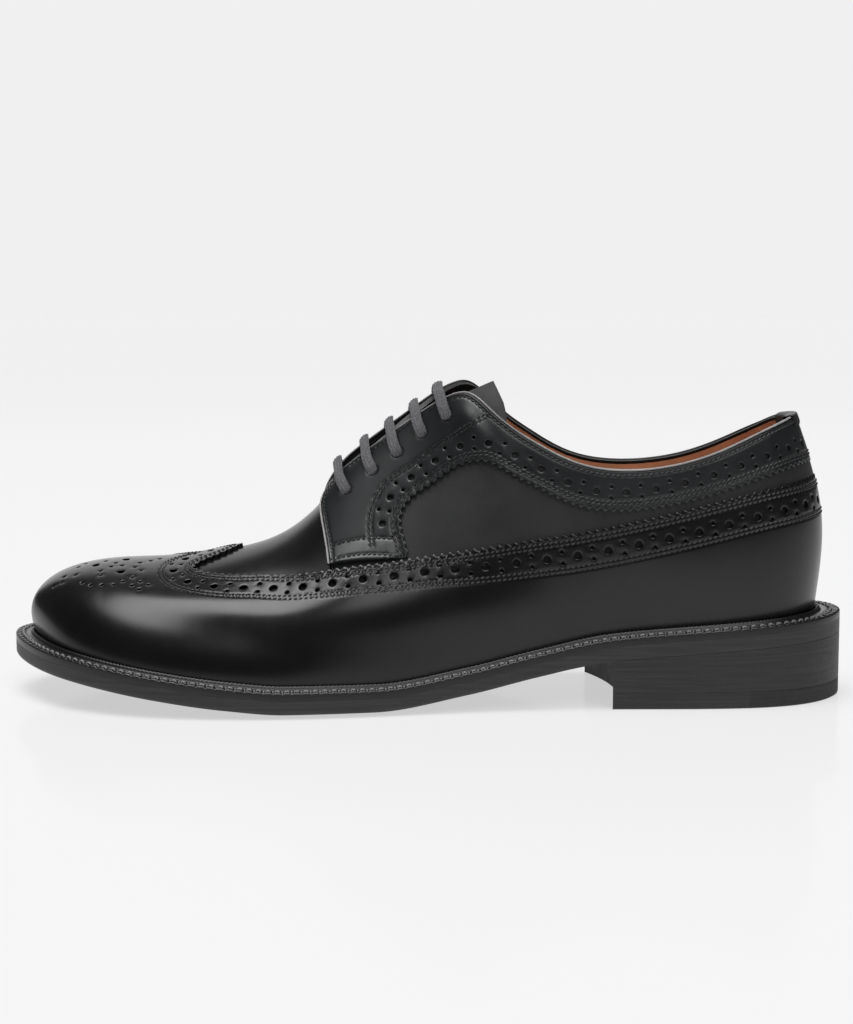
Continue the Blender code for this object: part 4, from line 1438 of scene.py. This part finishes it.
def make_rim(looks):
    """Bead along the rim of the facings and the collar: its outward half pale grey, a painted highlight, its
    inward half dark.
    """
    gathered = Collector()
    rim, _ = facing_lines()
    for side in SIDES:
        places = paced(rim, side, BEAD_PITCH)
        points, normal = layer(*places.T, side, facing_level(*places.T) - BEAD_SINK)
        # The outward half of each ring is painted pale as a highlight; the inward half is black
        dark = np.tile((np.arange(BEAD_AROUND) * 4 // BEAD_AROUND) % 3 > 0, (len(points) - 1, 1))
        sweep(gathered, points, normal, BEAD_RADIUS * BEAD_BROAD, BEAD_RADIUS, BEAD_AROUND, dark.astype(int))
    gathered.piece("rim_bead_painted_highlight", [looks["cut_edge"], looks["black_binding"]])


def make_upper(looks):
    """Vamp, quarters and lining under the overlays."""
    gathered = Collector()
    toe = np.linspace(TOE_START, TOE_END, TOE_STEPS)[:-1]
    t = np.concatenate([toe, np.linspace(TOE_END, 1.0, BODY_STEPS)])[:, None]
    behind = t[:, 0] > THROAT - THROAT_OVERLAP
    rim = rim_height(t)
    crest_t = np.append(t[t < THROAT], THROAT)[:, None]
    crest = rim_height(crest_t) + (1 - rim_height(crest_t)) * np.linspace(0, 1, CREST_ROWS)
    eyelets = np.array(EYELETS)
    for side in SIDES:
        spots = form(*eyelets.T, side)

        def clear_of_eyelets(v):
            """Which faces of a sheet at height fractions v leave the eyelets open."""
            points = form(t, v, side)
            gaps = ((points[:-1, :-1] + points[1:, 1:]) / 2)[:, :, None] - spots
            return np.linalg.norm(gaps, axis=-1).min(axis=-1) > EYELET_RADIUS + EYELET_CLEAR

        v = rim * np.linspace(0, 1, SKIN_ROWS)
        points, normal = layer(t, v, side, BASE_LEVEL + HEEL_FILL * ease(HEEL_FILL_FROM, 1.0, t))
        # Under the wing the upper takes the near-black finish so that the holes' bottoms look dark: painted
        # shade
        shade_under_wing = (v[:-1, :-1] < wing_top(t[:-1], side) - UNDER_WING) & (t[:-1] > WING_FRONT[-1][0])
        finish = np.where(shade_under_wing, BLACK_AND_SHADE, np.where(t[:-1] > QUARTER_START, QUARTER, VAMP))
        gathered.grid(points, normal, finish, keep=clear_of_eyelets(v))
        climb = np.linalg.norm(tangents(t, rim, side)[1], axis=-1)
        band = rim - (RIM_BAND + (THROAT_BAND - RIM_BAND) * (1 - ease(*BAND_ALONG, t))) / climb
        above = band + (rim - band) * np.linspace(0, 1, BAND_ROWS)[1:]
        v = np.concatenate([band * np.linspace(0, 1, LINING_ROWS), above], axis=1)
        inner, facing = layer(t, v, side, LINING_LEVEL)
        # The lining's top band, wider towards the throat, takes the same near-black finish
        in_band = np.arange(v.shape[1] - 1) >= LINING_ROWS - 1
        finish = np.where(in_band & (t[:-1] > BAND_START), BLACK_AND_SHADE, LINING)
        gathered.grid(inner, -facing, finish, keep=clear_of_eyelets(v))
        top = np.stack([points[:, -1], inner[:, -1]], axis=1)
        top_normal = unit(points[:, -1] - points[:, -2])
        gathered.grid(top[behind], np.stack([top_normal] * 2, 1)[behind], BINDING)
        points, normal = layer(crest_t, crest, side, BASE_LEVEL)
        gathered.grid(points, normal, VAMP)
        inner, facing = layer(crest_t, crest, side, LINING_LEVEL)
        gathered.grid(inner, -facing, LINING)
        gathered.grid(np.stack([points[-1], inner[-1]]), THROAT_WAY, VAMP)
        deep = LINING_LEVEL - WASHER_SINK
        for place in eyelets:
            mouth = float(facing_stand(*place)) - EYELET_SINK
            circles = []
            for radius, level in ((EYELET_RADIUS, mouth), (EYELET_RADIUS, deep), (WASHER_RADIUS, deep)):
                circles.append(layer(*ring_at(place, side, radius, EYELET_POINTS).T, side, level)[0])
            bore = np.stack(circles[:2])
            gathered.grid(bore, unit(bore.mean(axis=1, keepdims=True) - bore), BINDING, closed=True)
            gathered.grid(np.stack(circles[1:]), -layer(*place, side, 0.0)[1], LINING, closed=True)
    gathered.piece("upper_leather", [looks[name] for name in UPPER_FINISHES], ["upper"])


def make_heel_tab(looks):
    """Small folded tab over the top of the heel seam."""
    gathered = Collector()
    t = np.linspace(TAB_FRONT, 1.0, TAB_STEPS)
    v = np.linspace(TAB_FOOT, 1.0, TAB_CLIMB)
    edge = np.minimum((t[:, None] - TAB_FRONT) / TAB_EDGE[0], (v - TAB_FOOT) / TAB_EDGE[1])
    level = TAB_LEVEL - TAB_STEP * (1 - np.sqrt(np.clip(edge, 0, 1)))
    half = (TAB_LEVEL - TAB_INSIDE) / 2
    for side in SIDES:
        gathered.grid(*layer(t[:, None], v, side, level))
        lift = unit(form(t, 1.0, side) - form(t, 1 - CREST_STEP, side)) * TAB_CREST
        bow = []
        for turn in np.linspace(0, math.pi, TAB_BOW):
            low = layer(t, 1.0, side, TAB_LEVEL - half + half * math.cos(turn))[0]
            bow.append(low + lift * math.sin(turn))
        strip = np.stack(bow)
        gathered.grid(strip, facing_way(strip, UP))
        points, normal = layer(t[:, None], np.linspace(TAB_FOOT, 1.0, TAB_BACK_CLIMB), side, TAB_INSIDE)
        gathered.grid(points, -normal)
    gathered.piece("heel_tab_leather", [looks["black_binding"]], ["heel_tab"])


def tongue_sheet(level):
    """Sections of the tongue at a level under the skin: arches from the outer to the inner quarter."""
    t = np.linspace(TONGUE_EDGE[0][0], TONGUE_EDGE[-1][0], TONGUE_STEPS)
    v = tongue_edge(t)
    share = np.linspace(0, 1, TONGUE_ACROSS)[None, :, None]
    ends = [layer(t, v, side, level)[0] for side in SIDES]
    handle = np.linalg.norm(ends[1] - ends[0], axis=1, keepdims=True) * tongue_arch(t)[:, None]
    aims = [end + unit(tangents(t, v, side)[1]) * handle for end, side in zip(ends, SIDES)]
    arch = (1 - share)**3 * ends[0][:, None] + 3 * share * (1 - share)**2 * aims[0][:, None]
    arch = arch + 3 * share**2 * (1 - share) * aims[1][:, None] + share**3 * ends[1][:, None]
    last = arch[-1]
    middle = last[TONGUE_ACROSS // 2]
    tip = []
    for beyond in np.linspace(0, TONGUE_TIP[-1][0], TIP_STEPS)[1:]:
        section = middle + (last - middle) * tip_breadth(beyond)
        section[:, 0] += tip_slant(beyond) * (middle[2] - section[:, 2])
        tip.append(section + beyond * np.array(TONGUE_LEAN))
    return np.concatenate([arch, np.array(tip)])


def make_tongue(looks):
    """Tongue under the laces, with a soft rounded tip above the facings."""
    gathered = Collector()
    face = BASE_LEVEL - TONGUE_DEPTH
    outside, back = (tongue_sheet(level) for level in (face, face - TONGUE_THICK))
    for sheet, sign in ((outside, 1), (back, -1)):
        # The rows under the throat take the near-black finish, the rest grey suede
        dark = np.repeat(np.arange(len(sheet) - 1) < TONGUE_DARK, sheet.shape[1] - 1).astype(int)
        gathered.grid(sheet, facing_way(sheet, UP) * sign, dark)
    middle = outside[TONGUE_STEPS // 2, TONGUE_ACROSS // 2]
    for rim, other in ((outside[:, 0], back[:, 0]), (outside[-1], back[-1]), (outside[:, -1], back[:, -1])):
        away = unit(rim - middle)
        gathered.grid(np.stack([rim, other]), np.stack([away, away]))
    gathered.piece("tongue_leather", [looks["grey_suede"], looks["black_under"]], ["tongue"])


def across(outer, inner, shares):
    """Rows of plan points from one line to another."""
    shares = shares[None, :, None]
    return outer[:, None, :] * (1 - shares) + inner[:, None, :] * shares


def side_to_side(t, inward, shares):
    """Rows of plan points from the outer to the inner edge of the sole; t and inward are given by side."""
    return across(*[sole_edge(t[side], side, inward[side])[0] for side in SIDES], shares)


def raised(plan, heights):
    """Plan points with their heights."""
    return np.concatenate([plan, np.broadcast_to(heights, plan.shape[:-1])[..., None]], -1)


def make_welt(looks):
    """Welt with its stitch channel and knurled ridge, and the row of stitches on it."""
    at = np.linspace(0, RING_LENGTH, WELT_STATIONS, endpoint=False)
    inset = welt_inset(side_fraction(at))
    turn = 2 * math.pi * at / RING_LENGTH
    stitch_count = round(RING_LENGTH / WELT_STITCH_PITCH)
    notch = NOTCH_DEPTH * np.clip(np.cos(turn * stitch_count), 0, 1)**3
    knurl = KNURL_HEIGHT * np.sin(turn * round(RING_LENGTH / KNURL_PITCH))
    rows = []
    for share, height in WELT_SECTION:
        plan = ring_edge(at, inset * share)[0]
        relief = knurl * hump(*KNURL_SPAN, share) - notch * hump(*NOTCH_SPAN, share)
        rows.append(raised(plan, seat_height(plan[:, 0]) + height + relief))
    sheet = np.stack(rows)
    gathered = Collector()
    gathered.grid(sheet, facing_way(sheet, UP, True), closed=True)
    gathered.grid(np.stack([sheet[-1], sheet[0]]), -UP, closed=True)
    gathered.piece("welt_leather", [looks["black_welt"]], ["welt"])
    stops = (np.arange(stitch_count) + 0.5) * RING_LENGTH / stitch_count
    plan = ring_edge(stops, welt_inset(side_fraction(stops)) * STITCH_SHARE)[0]
    points = raised(plan, seat_height(plan[:, 0]) + STITCH_LIFT)
    direction = unit(np.roll(points, -1, axis=0) - np.roll(points, 1, axis=0))
    normal = np.cross(direction, unit(np.cross(UP, direction)))
    row = (points, direction, normal)
    stitches("welt_stitches", [row], looks["welt_thread"], WELT_STITCH_LENGTH, WELT_STITCH_RADIUS)


def sole_bevel(plan):
    """Width of the sole's rounded lower edge, which runs out where the heel joins it flush."""
    return SOLE_BEVEL * (1 - ease(*BEVEL_END_X, plan[:, 0]))


def make_sole(looks):
    """Outsole with its waxed edge, and the insole."""
    gathered = Collector()
    at = np.linspace(0, RING_LENGTH, SOLE_STATIONS, endpoint=False)
    edge, out = ring_edge(at)
    rows = []
    for inward, bevelled, share in SOLE_SECTION:
        plan = ring_edge(at, inward + bevelled * sole_bevel(edge))[0]
        rows.append(raised(plan, edge_height(plan[:, 0]) + OUTSOLE_THICK * share))
    sheet = np.stack(rows)
    gathered.grid(sheet, facing_way(sheet, raised(out, 0.0), True), closed=True)
    t = np.linspace(0.0, 1.0, TREAD_STEPS)
    shares = np.linspace(0, 1, TREAD_ACROSS)
    both = dict.fromkeys(SIDES, t)
    plan = side_to_side(both, {side: sole_bevel(sole_edge(t, side)[0]) for side in SIDES}, shares)
    belly = np.clip(np.minimum(shares, 1 - shares) / CROWN_RISE, 0, 1)
    sink = CROWN * crown_share(plan[..., 0]) * belly * (2 - belly)
    gathered.grid(raised(plan, edge_height(plan[..., 0]) - sink), -UP, 1)
    gathered.piece("outsole_leather", [looks["sole_edge"], looks["sole_leather"]], ["outsole"])
    plan = side_to_side(both, dict.fromkeys(SIDES, welt_inset(t) - LINING_LEVEL + INSOLE_GAP), shares)
    seat = seat_height(plan[..., 0])
    low, high = (raised(plan, seat + thick) for thick in (0.0, INSOLE_THICK))
    sock = Collector()
    sock.grid(raised(plan, seat + INSOLE_THICK - INSOLE_DISH * np.sin(math.pi * shares)), UP)
    sock.grid(low, -UP)
    for column, side in zip((0, -1), SIDES):
        sock.grid(np.stack([low[:, column], high[:, column]]), np.array([0.0, side, 0.0]))
    sock.piece("insole_leather", [looks["tan_lining"]], ["insole"])


def fraction_at_x(x, side):
    """Side fraction at which the sole's edge reaches x, behind the ball."""
    t = np.linspace(BALL, 1, SEARCH_POINTS)
    return float(np.interp(x, sole_edge(t, side)[0][:, 0], t))


def heel_edge(start, count):
    """The heel's edge from its outer to its inner front corner, and the straight line between these."""
    edge = np.concatenate([
        sole_edge(np.linspace(start[OUTER], 1, count), OUTER)[0],
        sole_edge(np.linspace(1, start[INNER], count)[1:], INNER)[0],
    ])
    share = np.linspace(0, 1, len(edge))[:, None]
    return edge, edge[0] * (1 - share) + edge[-1] * share


def hollow(count):
    """How far the heel's hollow front lies behind the line between its corners."""
    share = np.linspace(0, 1, count)
    return 4 * BREAST_HOLLOW * share * (1 - share)


def level_at(height):
    """A level surface as a function of x."""
    return lambda x: np.full_like(x, height)


def block(gathered, edge, front, bottom, top, section):
    """A heel layer between a curved edge and a front line, its side shaped by a section."""
    middle = np.concatenate([edge, front[-2:0:-1]]).mean(axis=0)
    run = np.gradient(edge, axis=0)
    out = unit(np.stack([run[:, 1], -run[:, 0]], -1))
    out = out * np.sign((out * (edge - middle)).sum(1).mean())
    rows = []
    for inward, share in section:
        plan = edge - out * inward
        low = bottom(plan[:, 0])
        rows.append(raised(plan, low + (top(plan[:, 0]) - low) * share))
    sheet = np.stack(rows)
    gathered.grid(sheet, facing_way(sheet, raised(out, 0.0)))
    breast = np.stack([raised(front, surface(front[:, 0])) for surface in (bottom, top)])
    gathered.grid(breast, np.array([-1.0, 0.0, 0.0]), 1)
    for surface, (inward, _), way in ((bottom, section[0], -UP), (top, section[-1], UP)):
        plan = across(edge - out * inward, front, np.linspace(0, 1, BLOCK_ACROSS))
        gathered.grid(raised(plan, surface(plan[..., 0])), way)


def make_heel(looks):
    """Heel stack with the lines between its lifts, top lift and rubber tip."""
    corner = {OUTER: fraction_at_x(BREAST_OUTER_X, OUTER), INNER: fraction_at_x(BREAST_INNER_X, INNER)}
    section = [(STACK_ROUND, 0.0), (0.0, GROOVE_HALF)]
    for number in range(1, HEEL_LIFTS):
        line = number / HEEL_LIFTS
        section += [(0.0, line - GROOVE_HALF), (GROOVE_DEPTH, line), (0.0, line + GROOVE_HALF)]
    section += [(0.0, 1 - GROOVE_HALF), (STACK_ROUND, 1.0)]
    edge, front = heel_edge(corner, HEEL_STEPS)
    front[:, 0] += hollow(len(front))
    stack = Collector()
    block(stack, edge, front, level_at(LIFT_THICK + HEEL_GAP), lambda x: edge_height(x) - HEEL_GAP, section)
    # The breasts of the stack and of the top lift take the darker finish: painted shade
    layers = [looks["stack_edge"], looks["black_breast"]]
    stack.piece("heel_stack_leather", layers, ["heel_stack"])
    joint = {side: fraction_at_x(RUBBER_X, side) for side in SIDES}
    rubber = Collector()
    block(rubber, *heel_edge(joint, RUBBER_STEPS), level_at(0.0), level_at(LIFT_THICK), LIFT_SECTION)
    rubber.piece("rubber_tip_moulded", [looks["rubber"]] * 2, ["rubber_tip"])
    lift = Collector()
    steps = np.linspace(0, 1, LIFT_STEPS)
    shares = np.linspace(0, 1, LIFT_ACROSS)
    bow = hollow(LIFT_ACROSS) * (1 - steps)[:, None]
    t = {}
    for side in SIDES:
        t[side] = corner[side] + (fraction_at_x(RUBBER_X - HEEL_GAP, side) - corner[side]) * steps
        rows = []
        for inward, part in LIFT_SECTION:
            rows.append(raised(sole_edge(t[side], side, inward)[0], part * LIFT_THICK))
        sheet = np.stack(rows)
        lift.grid(sheet, facing_way(sheet, np.array([0.0, side, 0.0])))
    for (inward, part), way in ((LIFT_SECTION[0], -UP), (LIFT_SECTION[-1], UP)):
        plan = side_to_side(t, dict.fromkeys(SIDES, inward), shares)
        plan[..., 0] += bow
        lift.grid(raised(plan, part * LIFT_THICK), way)
    plan = side_to_side(t, dict.fromkeys(SIDES, 0.0), shares)
    plan[..., 0] += bow
    for end, way, kind in ((0, -1.0, 1), (-1, 1.0, 0)):
        wall = np.stack([raised(plan[end], height) for height in (0.0, LIFT_THICK)])
        lift.grid(wall, np.array([way, 0.0, 0.0]), kind)
    lift.piece("top_lift_leather", layers, ["top_lift"])


def braid(at, angle):
    """Relief of a braided lace: ribs along it, each a row of small stitches."""
    size, rib, knot = LACE_RELIEF
    turn = LACE_STRANDS * angle
    run = 2 * math.pi * at / LACE_LAY
    return size + rib * np.cos(turn) + knot * np.cos(run + math.pi * np.round(turn / (2 * math.pi)))


def make_laces(looks):
    """One lace: five bars across the throat, joined underneath, its ends hidden under the facings."""
    path = []
    wide = []
    order = SIDES
    for t, eyelet in EYELETS:
        ridge = form_top(t + LACE_RUN) - form_top(t - LACE_RUN)
        broad = unit(np.array([ridge[0], 0.0, ridge[1]]))
        v = np.array([eyelet + rise for rise, level in LACE_KNOTS] + [rim_height(t)])
        above = [level for rise, level in LACE_KNOTS] + [LACE_OVER_RIM]
        level = facing_stand(t, v) + np.array(above)
        level[0] = LACE_HIDDEN
        first, second = (layer(t, v, side, level)[0] for side in order)
        middle = (first[-1] + second[-1]) / 2 + LACE_ARCH * UP
        bar = np.concatenate([first, middle[None], second[::-1]])
        lean = np.array(LACE_LEAN if order == SIDES else LACE_LEAN[::-1])
        path.append(bar - broad * lean[:, None])
        wide.append(np.repeat(broad[None], len(bar), axis=0))
        order = order[::-1]
    knots = np.concatenate(path)
    at = travelled(knots)
    along = np.arange(0, at[-1], LACE_STEP)
    broad = followed(along, at, np.concatenate(wide))
    gathered = Collector()
    points = spline(at, knots)(along)
    sweep(gathered, points, broad, LACE_WIDTH / 2, LACE_THICK / 2, LACE_AROUND, relief=braid)
    bars = [f"lace_bar_{number}" for number in range(1, len(EYELETS) + 1)]
    gathered.piece("lace_braided", [looks["lace_cotton"]], bars)


# Floor, light and camera
def make_stage():
    """Plain white floor with a faint glow of its own and a weak mirror image, both fading with distance."""
    mesh = bpy.data.meshes.new("floor")
    corners = [(-1, -1), (1, -1), (1, 1), (-1, 1)]
    mesh.from_pydata([(x * FLOOR_HALF, y * FLOOR_HALF, 0) for x, y in corners], [], [range(len(corners))])
    made, tree, shader = new_material("floor_white")
    away = tree.add("VectorMath", operation="LENGTH")
    tree.link(tree.add("TexCoord").outputs["Object"], away, 0)
    start, end = FLOOR_FADE
    fade = {"interpolation_type": "SMOOTHSTEP", "From_Min": start, "From_Max": end}
    mirrored = tree.spread(away.outputs["Value"], low=1.0, high=0.0, **fade)
    glow = tree.spread(away.outputs["Value"], low=FLOOR_GLOW, high=FLOOR_FAR_GLOW, **fade)
    mirror = tree.add("BsdfGlossy")
    cloud = tree.texture("Noise", FLOOR_CLOUD, Detail=2.0)
    tree.link(tree.spread(cloud, *FLOOR_ROUGH), mirror, "Roughness")
    share = tree.add("Fresnel", IOR=FLOOR_IOR)
    both = tree.add("MixShader")
    tree.link(tree.calculate("MULTIPLY", share.outputs["Fac"], mirrored), both, "Fac")
    tree.link(shader.outputs["BSDF"], both, 1)
    tree.link(mirror.outputs["BSDF"], both, 2)
    tree.link(both.outputs["Shader"], made.node_tree.nodes["Material Output"], "Surface")
    tree.link(glow, shader, "Emission Strength")
    shader.inputs["Base Color"].default_value = (FLOOR_WHITE, FLOOR_WHITE, FLOOR_WHITE, 1.0)
    shader.inputs["Emission Color"].default_value = (1.0, 1.0, 1.0, 1.0)
    shader.inputs["Specular IOR Level"].default_value = 0.0
    mesh.materials.append(made)
    floor = bpy.data.objects.new("floor", mesh)
    bpy.context.scene.collection.objects.link(floor)


def make_world():
    """Dim room with a wide lamp overhead, a weaker one in front and a pale backdrop behind the shoe."""
    world = bpy.data.worlds.new("studio")
    bpy.context.scene.world = world
    world.use_nodes = True
    tree = Nodes(world.node_tree)
    background = world.node_tree.nodes["Background"]
    place = tree.add("TexCoord")
    dim = ROOM_GLOW / len(SKY_PATCHES)
    total = None
    for aim, begins, full, strength in SKY_PATCHES:
        near = tree.add("VectorMath", operation="DOT_PRODUCT")
        tree.link(place.outputs["Generated"], near, 0)
        near.inputs[1].default_value = aim
        patch = tree.spread(near.outputs["Value"], low=dim, high=strength, interpolation_type="SMOOTHSTEP",
                            From_Min=begins, From_Max=full)
        total = patch if total is None else tree.calculate("ADD", total, patch)
    seen = tree.add("Mix", data_type="FLOAT", B=BACKDROP_GLOW)
    tree.link(tree.add("LightPath").outputs["Is Camera Ray"], seen, "Factor")
    tree.link(total, seen, "A")
    tree.link(seen.outputs["Result"], background, "Strength")
    background.inputs["Color"].default_value = BACKDROP_TINT


def make_camera():
    """The photograph's view: level with the outer side, looking slightly down."""
    data = bpy.data.cameras.new("camera")
    data.lens = CAMERA_LENS
    made = bpy.data.objects.new("camera", data)
    made.location = CAMERA_PLACE
    made.rotation_euler = (math.pi / 2 - CAMERA_PITCH, 0.0, 0.0)
    bpy.context.scene.collection.objects.link(made)
    bpy.context.scene.camera = made
    bpy.context.scene.view_settings.view_transform = "Standard"


def make_shoe():
    """Every piece of the shoe."""
    looks = make_materials()
    for make in (make_sole, make_heel, make_welt, make_upper, make_wing):
        make(looks)
    for side in SIDES:
        make_facing(looks, side)
    for make in (make_rim, make_heel_tab, make_tongue, make_laces):
        make(looks)


make_camera()
make_world()
make_stage()
make_shoe()
